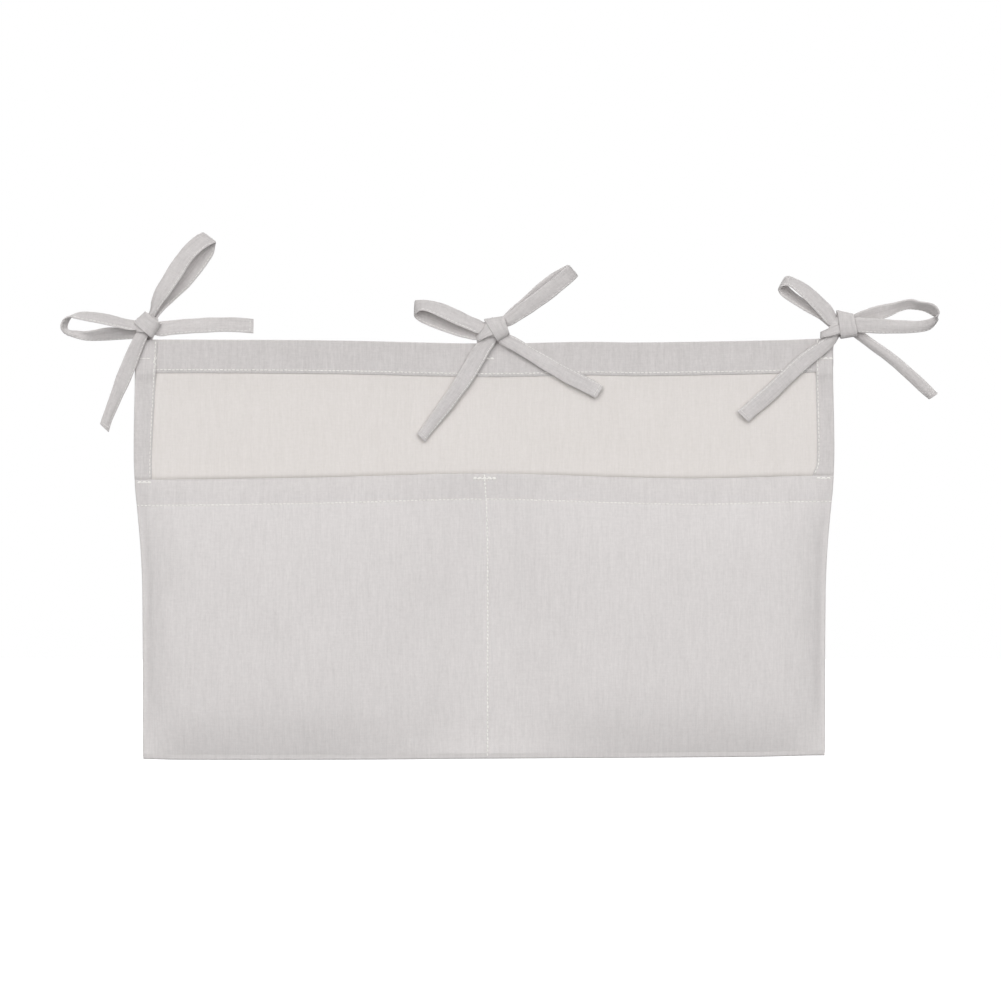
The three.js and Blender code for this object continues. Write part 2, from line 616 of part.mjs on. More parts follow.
// The room that a limb needs in its knot, at rest and through its swing
function limbRoom(limb) {
  const { at, aside, width, nub } = limbHinge(limb);
  const along = planeDirection(limb.heading);
  const swing = Math.tan(degToRad(limb.loop ? loopSwing : tailSwing));
  const half = nub + layerGap;
  const back = limb.overPanel ? half : half + knotClearance * swing;
  const front = half + knotClearance * swing;
  const reach = width / 2 + layerGap;
  const corners = [[0, half], [knotClearance, back], [knotClearance, -front], [0, -half]];
  const point = ([t, y], side) => at.clone().addScaledVector(along, t)
    .addScaledVector(towardsBack, y).addScaledVector(aside, side * reach).toArray();
  const points = [...corners.map((c) => point(c, -1)), ...corners.map((c) => point(c, 1))];
  const faces = [[0, 1, 2], [0, 2, 3], [4, 6, 5], [4, 7, 6]];
  corners.forEach((_, k) => {
    const next = (k + 1) % corners.length;
    faces.push([k, k + 4, next + 4], [k, next + 4, next]);
  });
  return toManifold(closedMesh(points, faces)).add(rod(at, aside, half, 2 * reach));
}

// The strap's folded middle, sewn behind the hem, rising over the top edge into the knot
function anchorFrames(knot, spare) {
  const x = knot.from + knot.anchorShift;
  const level = layerGap + strapThickness;
  const foot = new THREE.Vector3(x, level, -anchorTackDrop - anchorBelowTack - spare);
  const edge = new THREE.Vector3(x, level, edgeWander);
  const end = new THREE.Vector3(x, knotLevel + anchorEntry, knot.rise);
  const bend = new THREE.Vector3(x, level, knot.rise);
  const turn = new THREE.QuadraticBezierCurve3(edge, bend, end);
  const across = new THREE.Vector3(1, 0, 0);
  const width = anchorTackLength + 2 * spare;
  const frame = (at, ahead) => ({ at, across, normal: ahead.clone().cross(across), width });
  const frames = [frame(foot, new THREE.Vector3(0, 0, 1))];
  for (let i = 0; i <= anchorSteps; i += 1) {
    frames.push(frame(turn.getPoint(i / anchorSteps), turn.getTangent(i / anchorSteps)));
  }
  return frames;
}

function knotSolid(knot) {
  const centre = knotCentre(knot);
  const turn = (geometry, degrees) => geometry.applyQuaternion(
    new THREE.Quaternion().setFromAxisAngle(towardsBack, -degToRad(degrees)));
  const core = new THREE.SphereGeometry(1, bandSides, coreRings);
  core.rotateX(Math.PI / 2);
  core.scale(knot.coreLength / 2, knotDepth / 2, knot.coreHeight / 2);
  turn(core, knot.coreHeading).translate(centre.x, centre.y, centre.z);
  const band = new THREE.CylinderGeometry(1, 1, 1, bandSides);
  band.rotateX(Math.PI / 2);
  band.scale(knot.bandLength / 2, knotDepth / 2, strapWidth);
  turn(band, knot.bandHeading).translate(centre.x + knot.bandShift, centre.y, centre.z);
  let solid = toManifold(core).add(toManifold(band));
  for (const limb of limbs.filter((item) => item.knot === knot)) solid = solid.subtract(limbRoom(limb));
  return solid.subtract(toManifold(ribbon(anchorFrames(knot, layerGap), 2 * strapThickness + 2 * layerGap)));
}

function addTie(word, knot, cloth) {
  addNode(`strap_anchor_${word}`, ribbon(anchorFrames(knot, 0), 2 * strapThickness), strapCloth);
  addNode(`knot_${word}`, fromManifold(knotSolid(knot)), strapCloth);
  const x = knot.from + knot.anchorShift;
  const tackLine = (u) => [x + mix(-anchorTackLength / 2, anchorTackLength / 2, u), -anchorTackDrop];
  addNode(`tie_tack_${word}`, threadRow(2, tackLine, cloth, false, tackWidth), threadColour);
}
addTie('left', leftKnot, sideHemFront);
addTie('centre', centreKnot, onTopHem);
addTie('right', rightKnot, sideHemFront);
for (const limb of limbs) addNode(limb.name, limbSolid(limb), strapCloth);

export default part;
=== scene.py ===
"""Bedside caddy: a cloth panel with two pockets, hung by three tied bows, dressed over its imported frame.

Shapes are worked out in millimetres, and make_mesh turns them into metres.
"""

import math

import bmesh
import bpy
import numpy as np
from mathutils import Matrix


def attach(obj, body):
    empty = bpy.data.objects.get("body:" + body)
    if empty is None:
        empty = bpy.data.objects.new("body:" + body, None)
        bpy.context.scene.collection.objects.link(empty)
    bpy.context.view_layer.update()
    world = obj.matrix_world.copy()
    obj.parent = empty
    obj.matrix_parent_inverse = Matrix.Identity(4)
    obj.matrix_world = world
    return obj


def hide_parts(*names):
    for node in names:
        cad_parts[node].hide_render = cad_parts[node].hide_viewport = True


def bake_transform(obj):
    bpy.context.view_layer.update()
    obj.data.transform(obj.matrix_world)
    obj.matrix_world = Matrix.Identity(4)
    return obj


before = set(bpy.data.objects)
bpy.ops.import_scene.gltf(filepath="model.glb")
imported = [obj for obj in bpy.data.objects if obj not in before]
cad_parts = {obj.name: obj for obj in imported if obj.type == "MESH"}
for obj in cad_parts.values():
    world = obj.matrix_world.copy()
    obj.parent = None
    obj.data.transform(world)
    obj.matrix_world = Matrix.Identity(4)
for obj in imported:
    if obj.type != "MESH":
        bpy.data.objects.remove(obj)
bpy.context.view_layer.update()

MM = 0.001

# Cloth
CLOTH = 0.8
LAYER_GAP = 0.3
HEM_EDGE = 0.94
HEM_SETTLE = 0.35
GRID = 1.3
GRID_DOWN = 1.4 * GRID
EDGE_ANGLES = [math.radians(angle) for angle in (60, 30, 0, -30, -60)]
WEAVE_UNIT = 100

# Stitches. The shares are of a stitch's half length, or of its thread's radius.
STITCH_PITCH = 2.87
STITCH_LENGTH = 2.35
STITCH_RADIUS = 0.34
TACK_RADIUS = 0.52
SEAM_RADIUS = 0.46
STITCH_STATIONS = (-1, -0.85, -0.5, 0, 0.5, 0.85, 1)
STITCH_ARCH = 0.75
STITCH_SUNK = 0.35
STITCH_END_GIRTH = 0.45
STITCH_FLATNESS = 0.8
THREAD_SIDES = 6
SWAY = 0.12
BAR_SWAY = 0.08
SWAY_TURN = 2.4
SWAY_START = 0.7
STITCH_SLOPE_REACH = 0.2
BAR_SPREAD = 0.85
BAR_PITCH_STEP = 0.3
ROW_END_GAP = 1.5

# Gathers of the cloth beside stitches
PUCKER_DEPTH = 0.16
PUCKER_REACH = 2.2
PUCKER_WAVE = 4.3
PUCKER_RIPPLE = 1.07
PUCKER_DRIFT = 7.3
PUCKER_DRIFT_SHIFT = 2
PUCKER_WAVE_SHARE = 0.65
PUCKER_RIPPLE_SHARE = 0.5
PUCKER_EVEN = 0.55

# Panel
PANEL_WIDTH = 500
PANEL_DROP = 300
EDGE_WANDER = 3
SIDE_DRAW_IN = 5
WAVES_FULL_DROP = 90
TOP_HEM_DEPTH = 24
TOP_HEM_STITCH_INSET = 2.2
TOP_HEM_STITCH_END = 2
HEM_BULGE = 0.7
HEM_BULGE_TOP = 7
HEM_BULGE_END = 38
SIDE_HEM_WIDTH = 12.5
SIDE_HEM_STITCH_INSET = 1.3
SIDE_HEM_STITCH_END = 1.2
SIDE_HEM_STEP = 6
LEFT_HEM_FLARE = 3.5
RIGHT_HEM_FLARE = 3
RIGHT_HEM_FLARE_HEIGHT = 11
SIDE_TURN_FOOT = 2
SIDE_TURN_GRID = 1.2
SIDE_GATHER_SHIFT = 40

# Pockets
POCKET_RIM_DROP = 98
POCKET_HEM_DEPTH = 20
POCKET_HEM_STITCH_DROP = 18.5
POCKET_HEM_SETTLE = 0.6
POCKET_BELLY = 13.5
SEAM_ALLOWANCE = 10
ALLOWANCE_START = 5
ALLOWANCE_SLACK = 0.1
SIDE_MARGIN = 13
CENTRE_MARGIN = 11
SEAM_ROUNDING = 1.5
SIDE_ROLL_WIDTH = 1.2
SIDE_ROLL_DEPTH = 1.1
RIM_ROUNDING = 1.6
RIM_ROUNDING_HEIGHT = 3.2
RIM_ROUNDNESS = 0.98
BOTTOM_FOLD_HEIGHT = 4
FOLD_RADIUS = 1.15
LIP_OVERLAP = 0.3
SEAM_SETTLE = 12
SEAM_SHIFT = 2.5
SEAM_PRESS = 0.35
SEAM_PRESS_REACH = 2.2
SEAM_TOP_GAP = 0.6
SEAM_GATHERS = 0.6
SEAM_GATHER_OFFSET = 1.5
SEAM_GATHER_STRETCH = 0.9
HEM_GATHER_STRETCH = 1.07
HEM_GATHER_SHIFT = 3

# How the back panel gives way behind the pockets
PANEL_BELLY = 0.8
PANEL_BELLY_TOP = 3
PANEL_BELLY_FOOT_SHARE = 0.4
PANEL_BELLY_SIDE_SHARE = 0.15
PANEL_BELLY_CENTRE_SHARE = 0.3
RIM_GIVE = 1.6
RIM_GIVE_EDGE = 2.2
RIM_GIVE_FADE = 6
RIM_GIVE_END = 24

# Bars of stitches, and the zigzag at the left corner
RIM_TACK_LENGTH = 17
RIM_TACK_DROP = 3.5
CORNER_TACK_LENGTH = 10.5
CORNER_TACK_DROP = 1.8
CORNER_TACK_INSET = 1.5
ZIGZAG_TOP = -11
ZIGZAG_FOOT = -19
ZIGZAG_WIDTH = 0.8
ZIGZAG_TURN = 9
ZIGZAG_STITCHES = 5

HALF_WIDTH = PANEL_WIDTH / 2
ACROSS = np.linspace(-1, 1, int(PANEL_WIDTH / GRID))

# The photograph: its side in pixels, a pixel's size on the caddy, and the panel's middle and top in it
PHOTO_SIDE = 1001
PHOTO_PIXEL = 0.7174
PHOTO_ORIGIN_X = 483.5
PHOTO_ORIGIN_Z = 340.5

# Levels of the layers, from the rear face forward
PANEL_FRONT = -CLOTH
HEM_BACK = PANEL_FRONT - LAYER_GAP
HEM_FRONT = HEM_BACK - CLOTH
CORNER_FRONT = HEM_FRONT - LAYER_GAP - CLOTH
POCKET_FRONT = HEM_BACK - 3 * CLOTH - LAYER_GAP
BACK_MID = -CLOTH / 2
HEM_MID = HEM_FRONT + CLOTH / 2

# Edges of the panel: place across or down it, then the offset, both as shares
TOP_WANDER_SHARES = [
    (-1, 0.35), (-0.45, 0.15), (0, -0.6), (0.3, -0.2), (0.45, -0.35), (0.85, 0.2), (1, 0.6),
]
RIM_WANDER_SHARES = [(-1, -0.5), (-0.5, 0), (0, 1), (0.4, 0.1), (0.62, -0.2), (1, 0.5)]
BOTTOM_WANDER_SHARES = [
    (-1, 0.1), (-0.9, -0.1), (-0.4, -0.1), (0, 0.15), (0.5, 0.4), (0.8, 0.6), (1, 0.95),
]
DRAW_IN_SHARES = [(0, 0), (0.25, -0.25), (0.34, -0.1), (0.42, 0.35), (0.5, 0.75), (0.6, 1), (1, 1.1)]
SEAM_SHIFT_SHARES = [(0, 0), (0.31, 0.1), (0.38, 0.6), (0.5, 1), (1, 1)]

# A pocket's belly: place in from the side seam or up from the bottom fold, then its depth, both as shares
BELLY_ACROSS_SHARES = [
    (0, 0), (0.034, 0.35), (0.059, 0.57), (0.08, 0.71), (0.105, 0.84), (0.131, 0.93), (0.19, 1), (0.4, 1),
    (0.55, 0.95), (0.7, 0.8), (0.85, 0.5), (1, 0),
]
BELLY_UP_SHARES = [
    (-0.04, -0.26), (0, 0), (0.04, 0.26), (0.09, 0.53), (0.14, 0.735), (0.2, 0.885), (0.27, 0.965), (0.36, 1),
    (0.58, 1), (0.7, 0.95), (0.8, 0.82), (0.88, 0.62), (0.95, 0.36), (1, 0.1),
]

# Towards a hem's edge: where it starts and ends to thicken, and where its front starts to fall back
TOP_HEM_EDGE_SHARES = (0.86, 0.97, 0.93)
SIDE_HEM_EDGE_SHARES = (0.7, 0.95, 0.88)

# Slow waves of the hanging cloth: height, length across, length down and phase
PANEL_WAVES = [(0.3, 390, 520, 0.4), (0.18, 170, -260, 1.9), (0.1, 95, 140, 4.1)]
POCKET_WAVES = [(0.35, 120, 310, 0.9), (0.2, 64, -180, 2.7), (0.1, 37, 88, 5.0)]


# Curves and edges


def smooth(places, values, at, flat_ends=False):
    """Reads values at places smoothly, with a cubic between each pair."""
    places = np.asarray(places, float)
    values = np.asarray(values, float)
    slopes = np.zeros(len(places))
    slopes[1:-1] = (values[2:] - values[:-2]) / (places[2:] - places[:-2])
    if not flat_ends:
        slopes[0] = (values[1] - values[0]) / (places[1] - places[0])
        slopes[-1] = (values[-1] - values[-2]) / (places[-1] - places[-2])
    at = np.clip(np.asarray(at, float), places[0], places[-1])
    i = np.clip(np.searchsorted(places, at, side="right") - 1, 0, len(places) - 2)
    span = places[i + 1] - places[i]
    t = (at - places[i]) / span
    rise = values[i + 1] - values[i]
    start = slopes[i] * span
    end = slopes[i + 1] * span
    return values[i] + t * (start + t * (3 * rise - 2 * start - end + t * (start + end - 2 * rise)))


def read_shares(shares, at):
    table = np.array(shares, float)
    return smooth(table[:, 0], table[:, 1], at, flat_ends=True)


def mix(a, b, t):
    return a + (b - a) * t


def smoothstep(value, low, high):
    t = np.clip((np.asarray(value, float) - low) / (high - low), 0, 1)
    return t * t * (3 - 2 * t)


def even(low, high, step):
    """Evenly spaced values from low to high, both included, about a step apart."""
    return np.linspace(low, high, max(2, int(round(abs(high - low) / step)) + 1))


def half_turn(steps):
    """Angles along a fold, without its two ends."""
    return [math.pi * k / steps for k in range(1, steps)]


def unit(vectors):
    return vectors / np.maximum(np.linalg.norm(vectors, axis=-1, keepdims=True), 1e-9)


def travelled(points):
    """How far along a line of points each of them lies."""
    return np.concatenate([[0], np.cumsum(np.linalg.norm(np.diff(points, axis=0), axis=1))])


def waves(table, x, z):
    return sum(h * np.sin(math.tau * (x / across + z / down) + phase) for h, across, down, phase in table)


def top_edge(x):
    return EDGE_WANDER * read_shares(TOP_WANDER_SHARES, x / HALF_WIDTH)


def rim_edge(x):
    return -POCKET_RIM_DROP + EDGE_WANDER * read_shares(RIM_WANDER_SHARES, x / HALF_WIDTH)


def bottom_edge(x):
    return -PANEL_DROP + EDGE_WANDER * read_shares(BOTTOM_WANDER_SHARES, x / HALF_WIDTH)


def side_edge(z):
    return HALF_WIDTH - SIDE_DRAW_IN * read_shares(DRAW_IN_SHARES, -z / PANEL_DROP)


def seam_line(z):
    return SEAM_SHIFT * read_shares(SEAM_SHIFT_SHARES, -z / PANEL_DROP)


def top_hem_edge(x):
    return top_edge(x) - TOP_HEM_DEPTH


def fold_top(x):
    return bottom_edge(x) + BOTTOM_FOLD_HEIGHT


def hang(x, z):
    """Slow unevenness that all the layers of the panel share, still near the ties."""
    bulge = smoothstep(-z, HEM_BULGE_TOP, TOP_HEM_DEPTH) * (1 - smoothstep(-z, TOP_HEM_DEPTH, HEM_BULGE_END))
    return waves(PANEL_WAVES, x, z) * smoothstep(-z, 0, WAVES_FULL_DROP) - HEM_BULGE * bulge


def pucker(distance, along):
    """Small uneven gathers of the cloth beside a row of stitches."""
    near = np.exp(-((distance / PUCKER_REACH) ** 2))
    ripple = np.sin(along / PUCKER_RIPPLE + PUCKER_DRIFT_SHIFT * np.sin(along / PUCKER_DRIFT))
    wave = np.sin(math.tau * along / PUCKER_WAVE)
    uneven = PUCKER_WAVE_SHARE * wave + PUCKER_RIPPLE_SHARE * ripple
    return PUCKER_DEPTH * near * mix(uneven, 1, PUCKER_EVEN)


# Meshes


def make_mesh(name, points, faces, weave, face_slots=None, sharp=()):
    """A smooth mesh object from points in millimetres. weave gives each point its place in the cloth."""
    mesh = bpy.data.meshes.new(name)
    mesh.from_pydata((np.asarray(points, float) * MM).tolist(), [], [list(map(int, f)) for f in faces])
    mesh.polygons.foreach_set("use_smooth", [True] * len(mesh.polygons))
    if face_slots is not None:
        mesh.polygons.foreach_set("material_index", list(map(int, face_slots)))
    layer = mesh.uv_layers.new(name="Weave")
    index = np.empty(len(mesh.loops), np.int32)
    mesh.loops.foreach_get("vertex_index", index)
    layer.data.foreach_set("uv", (np.asarray(weave, float)[index] / WEAVE_UNIT).ravel())
    if len(sharp):
        pairs = {tuple(sorted(map(int, pair))) for pair in sharp}
        for edge in mesh.edges:
            if tuple(sorted(edge.vertices)) in pairs:
                edge.use_edge_sharp = True
    mesh.validate()
    thing = bpy.data.objects.new(name, mesh)
    bpy.context.scene.collection.objects.link(thing)
    return thing


def turn_outwards(thing):
    """Turns every face of a closed mesh outwards."""
    work = bmesh.new()
    work.from_mesh(thing.data)
    bmesh.ops.recalc_face_normals(work, faces=work.faces)
    work.to_mesh(thing.data)
    work.free()


def free_edges(across, down, cut, ring):
    """Directions out of a sheet along its free edges, and zero everywhere else."""
    outward = np.zeros_like(across)
    if "left" not in cut:
        outward[:, 0] -= unit(across[:, 0])
    if "right" not in cut:
        outward[:, -1] += unit(across[:, -1])
    if not ring and "first" not in cut:
        outward[0] -= unit(down[0])
    if not ring and "last" not in cut:
        outward[-1] += unit(down[-1])
    return outward


def border_loops(grid, ring):
    """Closed loops of points along the border of a grid of them."""
    if ring:
        return [grid[:0:-1, 0], grid[:-1, -1]]
    border = np.array([*grid[0, :-1], *grid[:-1, -1], *grid[-1, :0:-1], *grid[:0:-1, 0]])
    return [np.roll(border[::-1], 1)]


def cut_edges(loop, outward, side):
    """Edges of both faces where a loop runs along a cut, which stay sharp."""
    flat = np.linalg.norm(outward[loop], axis=1) < 0.5
    sharp = []
    for k in np.nonzero(flat | np.roll(flat, -1))[0]:
        pair = (loop[k], loop[(k + 1) % len(loop)])
        sharp += [pair, (pair[0] + side, pair[1] + side)]
    return sharp


def cloth_mesh(name, mid, weave, thickness=CLOTH, cut=(), ring=False):
    """A closed sheet of cloth about a grid of middle points, rows by columns.

    Its outer face looks along the cross product of its rows and columns. Edges are rounded, but for those
    named in cut, which meet another sheet. A ring joins its last row to its first.
    """
    rows, columns = mid.shape[:2]
    side = rows * columns
    half = np.broadcast_to(np.asarray(thickness, float), (rows, columns))[..., None] / 2
    down = np.roll(mid, -1, axis=0) - np.roll(mid, 1, axis=0) if ring else np.gradient(mid, axis=0)
    across = np.gradient(mid, axis=1)
    normal = unit(np.cross(across, down))
    outward = free_edges(across, down, cut, ring)
    inset = mid - outward * half
    inset, normal, outward = (part.reshape(-1, 3) for part in (inset, normal, outward))
    half, weave = half.reshape(-1, 1), weave.reshape(-1, 2)
    grid = np.arange(side).reshape(rows, columns)
    if ring:
        grid = np.vstack([grid, grid[:1]])
    outer = np.stack([grid[:-1, :-1], grid[:-1, 1:], grid[1:, 1:], grid[1:, :-1]], -1).reshape(-1, 4)
    points, places = [inset + normal * half, inset - normal * half], [weave, weave]
    faces, slots = [outer, outer[:, [0, 3, 2, 1]] + side], [np.zeros(len(outer)), np.ones(len(outer))]
    start, sharp = 2 * side, []
    for loop in border_loops(grid, ring):
        bands = [loop]
        for angle in EDGE_ANGLES:
            out = outward[loop] * math.cos(angle) + normal[loop] * math.sin(angle)
            points.append(inset[loop] + out * half[loop])
            places.append(weave[loop])
            bands.append(np.arange(start, start + len(loop)))
            start += len(loop)
        bands.append(loop + side)
        for upper, lower in zip(bands, bands[1:]):
            faces.append(np.stack([upper, np.roll(upper, -1), np.roll(lower, -1), lower], 1))
            slots.append(np.zeros(len(loop)))
        sharp += cut_edges(loop, outward, side)
    points, faces, places = np.vstack(points), np.vstack(faces), np.vstack(places)
    return make_mesh(name, points, faces, places, np.concatenate(slots), sharp)


def finish_piece(thing, materials, body="caddy", nodes=()):
    for item in materials:
        thing.data.materials.append(item)
    if nodes:
        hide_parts(*nodes)
    if body:
        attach(thing, body)


def tone_faces(cloth, tone, chosen):
    """Gives a further material to the outer faces whose middle, in millimetres, is chosen."""
    cloth.data.materials.append(tone)
    last = len(cloth.data.materials) - 1
    for face in cloth.data.polygons:
        if face.material_index == 0 and chosen(face.center / MM):
            face.material_index = last


# Stitches


def stitch_points(at, along, up, radius):
    """One stitch: a short thread that arches out of the cloth and dips back into it at both ends."""
    side = np.cross(along, up)
    rings = []
    for share in STITCH_STATIONS:
        bulge = math.sqrt(max(0.0, 1 - share * share))
        lift = radius * (STITCH_ARCH * bulge - STITCH_SUNK)
        centre = at + along * (share * STITCH_LENGTH / 2) + up * lift
        girth = radius * mix(STITCH_END_GIRTH, 1, bulge)
        for k in range(THREAD_SIDES):
            turn = math.tau * k / THREAD_SIDES
            flat = STITCH_FLATNESS * math.sin(turn)
            rings.append(centre + side * (girth * math.cos(turn)) + up * (girth * flat))
    return rings


def stitch_row(name, places, radius=STITCH_RADIUS, thread=None, body="caddy"):
    """A row of stitches from (point, along, up) triples in millimetres."""
    points, faces = [], []
    sides, last = THREAD_SIDES, THREAD_SIDES * (len(STITCH_STATIONS) - 1)
    for at, along, up in places:
        along, up = unit(np.array(along, float)), np.array(up, float)
        up = unit(up - along * np.dot(up, along))
        base = len(points)
        points += stitch_points(np.array(at, float), along, up, radius)
        for ring in range(base, base + last, sides):
            for k in range(sides):
                a, b = ring + k, ring + (k + 1) % sides
                faces.append((a, a + sides, b + sides, b))
        faces.append(tuple(base + k for k in range(sides)))
        faces.append(tuple(base + last + k for k in reversed(range(sides))))
    thing = make_mesh(name, points, faces, [(point[0], point[2]) for point in points])
    finish_piece(thing, [thread or THREAD], body=body)
    return thing


def along_line(line, surface, count, up=(0, -1, 0), jitter=SWAY):
    """Places for a row of stitches: line(share) gives x and z, and surface(x, z) the level of the cloth."""
    places = []
    reach = STITCH_SLOPE_REACH / count
    for k, share in enumerate((np.arange(count) + 0.5) / count):
        x, z = line(share)
        xa, za = line(share - reach)
        xb, zb = line(share + reach)
        sway = jitter * math.sin(k * SWAY_TURN + SWAY_START)
        along = np.array([xb - xa, float(surface(xb, zb)) - float(surface(xa, za)), zb - za])
        across = unit(np.cross(along, (0, 1, 0)))
        places.append((np.array([x, float(surface(x, z)), z]) + across * sway, along, up))
    return places


def through_line(line, front, rear, count, jitter=SWAY):
    """Places for a row of stitches that shows on both faces of the caddy."""
    return along_line(line, front, count, jitter=jitter) + along_line(line, rear, count, (0, 1, 0), jitter)


def count_for(length, pitch=STITCH_PITCH):
    return max(3, int(round(length / pitch)))


def build_bar(name, node, start, end, front, rear=None, radius=TACK_RADIUS):
    """A short bar of stitches gone over three times."""
    places = []
    length = math.hypot(end[0] - start[0], end[1] - start[1])
    for turn, drop in enumerate((-BAR_SPREAD * radius, BAR_SPREAD * radius, 0.0)):
        def line(share, turn=turn, drop=drop):
            share = share if turn % 2 else 1 - share
            return mix(start[0], end[0], share), mix(start[1], end[1], share) + drop

        count = count_for(length, STITCH_PITCH + BAR_PITCH_STEP * turn)
        if rear is None:
            places += along_line(line, front, count, jitter=BAR_SWAY)
        else:
            places += through_line(line, front, rear, count, BAR_SWAY)
    row = stitch_row(name, places, radius=radius)
    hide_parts(node)


# Materials

# Grains of the cloth: size across and down in millimetres, detail and seed
GRAINS = {
    "slub": (0.9, 11, 3, 1.0),
    "broad": (3.0, 30, 2, 6.0),
    "level": (7, 0.9, 3, 11.0),
    "fleck": (1.8, 2.4, 2, 14.0),
    "cloud": (38, 50, 2, 17.0),
    "fine": (0.5, 0.5, 1, 23.0),
}
GRAIN_SHADES = {"slub": 1.4, "broad": 0.8, "level": 0.8, "fleck": 1, "cloud": 0.4, "fine": 0.8}
GRAIN_RELIEF = {"slub": 0.5, "level": 0.35, "fine": 0.4}
SEED_SHIFTS = (1, 0.7, 1.3)
YARN_PITCH = 0.45
YARN_CROSSING = 0.6
YARN_SHADE = 0.12
YARN_RELIEF = 0.45
RELIEF_DEPTH = 0.12
PLY_DEPTH = 0.08
# Painted highlight along a folded strap's edges: where it starts and where it is full, as shares of the half
# width, then how much paler it makes them
EDGE_HIGHLIGHT_REACH = (0.8, 0.97)
EDGE_HIGHLIGHT_AMOUNT = 0.25


def srgb(red, green, blue):
    """Linear colour from eight-bit sRGB values."""
    values = []
    for value in (red, green, blue):
        share = value / 255
        values.append(share / 12.92 if share <= 0.04045 else ((share + 0.055) / 1.055) ** 2.4)
    return tuple(values)


def material(name, colour, roughness, sheen):
    thing = bpy.data.materials.new(name)
    thing.use_nodes = True
    shader = thing.node_tree.nodes["Principled BSDF"]
    shader.inputs["Base Color"].default_value = (*colour, 1)
    shader.inputs["Roughness"].default_value = roughness
    shader.inputs["Specular IOR Level"].default_value = 0.25
    shader.inputs["Sheen Weight"].default_value = sheen
    shader.inputs["Sheen Roughness"].default_value = 0.6
    return thing, thing.node_tree, shader


def maths(tree, operation, first, second=0.0, third=0.0):
    """One arithmetic node on outputs or plain values."""
    node = tree.nodes.new("ShaderNodeMath")
    node.operation = operation
    for socket, value in zip(node.inputs, (first, second, third)):
        if isinstance(value, (int, float)):
            socket.default_value = value
        else:
            tree.links.new(value, socket)
    return node.outputs[0]


def ranged(tree, value, low, high):
    """An output from zero to one, spread from low to high."""
    node = tree.nodes.new("ShaderNodeMapRange")
    node.inputs["To Min"].default_value = low
    node.inputs["To Max"].default_value = high
    tree.links.new(value, node.inputs["Value"])
    return node.outputs["Result"]


def shade(tree, shader, amount, dark, pale, clamp=True):
    """The shader's colour, from dark to pale by an amount."""
    node = tree.nodes.new("ShaderNodeMix")
    node.data_type = "RGBA"
    node.clamp_factor = clamp
    node.inputs["A"].default_value = (*dark, 1)
    node.inputs["B"].default_value = (*pale, 1)
    tree.links.new(amount, node.inputs["Factor"])
    tree.links.new(node.outputs["Result"], shader.inputs["Base Color"])


def relief(tree, shader, height, strength, depth):
    node = tree.nodes.new("ShaderNodeBump")
    node.inputs["Strength"].default_value = strength
    node.inputs["Distance"].default_value = depth * MM
    tree.links.new(height, node.inputs["Height"])
    tree.links.new(node.outputs["Normal"], shader.inputs["Normal"])


def grain_noise(tree, source, across, down, detail, seed):
    """Noise whose grain is across by down millimetres in the cloth."""
    place = source
    shift = [seed * share for share in SEED_SHIFTS]
    for operation, values in (("MULTIPLY", (WEAVE_UNIT / across, WEAVE_UNIT / down, 1)), ("ADD", shift)):
        node = tree.nodes.new("ShaderNodeVectorMath")
        node.operation = operation
        node.inputs[1].default_value = values
        tree.links.new(place, node.inputs[0])
        place = node.outputs[0]
    noise = tree.nodes.new("ShaderNodeTexNoise")
    noise.inputs["Scale"].default_value = 1.0
    noise.inputs["Detail"].default_value = detail
    tree.links.new(place, noise.inputs["Vector"])
    return noise.outputs["Fac"]


def weighted(tree, parts, offset):
    """offset plus the sum of each output, less a half, times its weight."""
    total = offset
    for output, weight in parts:
        total = maths(tree, "ADD", total, maths(tree, "MULTIPLY_ADD", output, weight, -weight / 2))
    return total


def weave_pattern(tree, source):
    """Heights of the upright and the level yarns of a plain weave, which pass over each other in turn."""
    split = tree.nodes.new("ShaderNodeSeparateXYZ")
    tree.links.new(source, split.inputs[0])
    turns = WEAVE_UNIT * math.pi / YARN_PITCH
    upright_wave = maths(tree, "SINE", maths(tree, "MULTIPLY", split.outputs[0], turns))
    level_wave = maths(tree, "SINE", maths(tree, "MULTIPLY", split.outputs[1], turns))
    crossing = maths(tree, "MULTIPLY", upright_wave, level_wave)
    upright = maths(tree, "MULTIPLY_ADD", crossing, YARN_CROSSING, maths(tree, "ABSOLUTE", upright_wave))
    level = maths(tree, "MULTIPLY_ADD", crossing, -YARN_CROSSING, maths(tree, "ABSOLUTE", level_wave))
    return upright, level


def edge_highlight_mask(tree, source):
    """One along both edges of a folded strap, and zero inside them: the mask of a painted highlight on the
    folded edges.
    """
    split = tree.nodes.new("ShaderNodeSeparateXYZ")
    tree.links.new(source, split.inputs[0])
    across = maths(tree, "MULTIPLY", split.outputs[0], WEAVE_UNIT)
    half = STRAP_BACK_SHIFT / 2
    turned = maths(tree, "FLOORED_MODULO", maths(tree, "ADD", across, half), STRAP_BACK_SHIFT)
    reach = tree.nodes.new("ShaderNodeMapRange")
    reach.interpolation_type = "SMOOTHSTEP"
    reach.inputs["From Min"].default_value = EDGE_HIGHLIGHT_REACH[0] * STRAP_WIDTH / 2
    reach.inputs["From Max"].default_value = EDGE_HIGHLIGHT_REACH[1] * STRAP_WIDTH / 2
    tree.links.new(maths(tree, "ABSOLUTE", maths(tree, "SUBTRACT", turned, half)), reach.inputs["Value"])
    return reach.outputs["Result"]


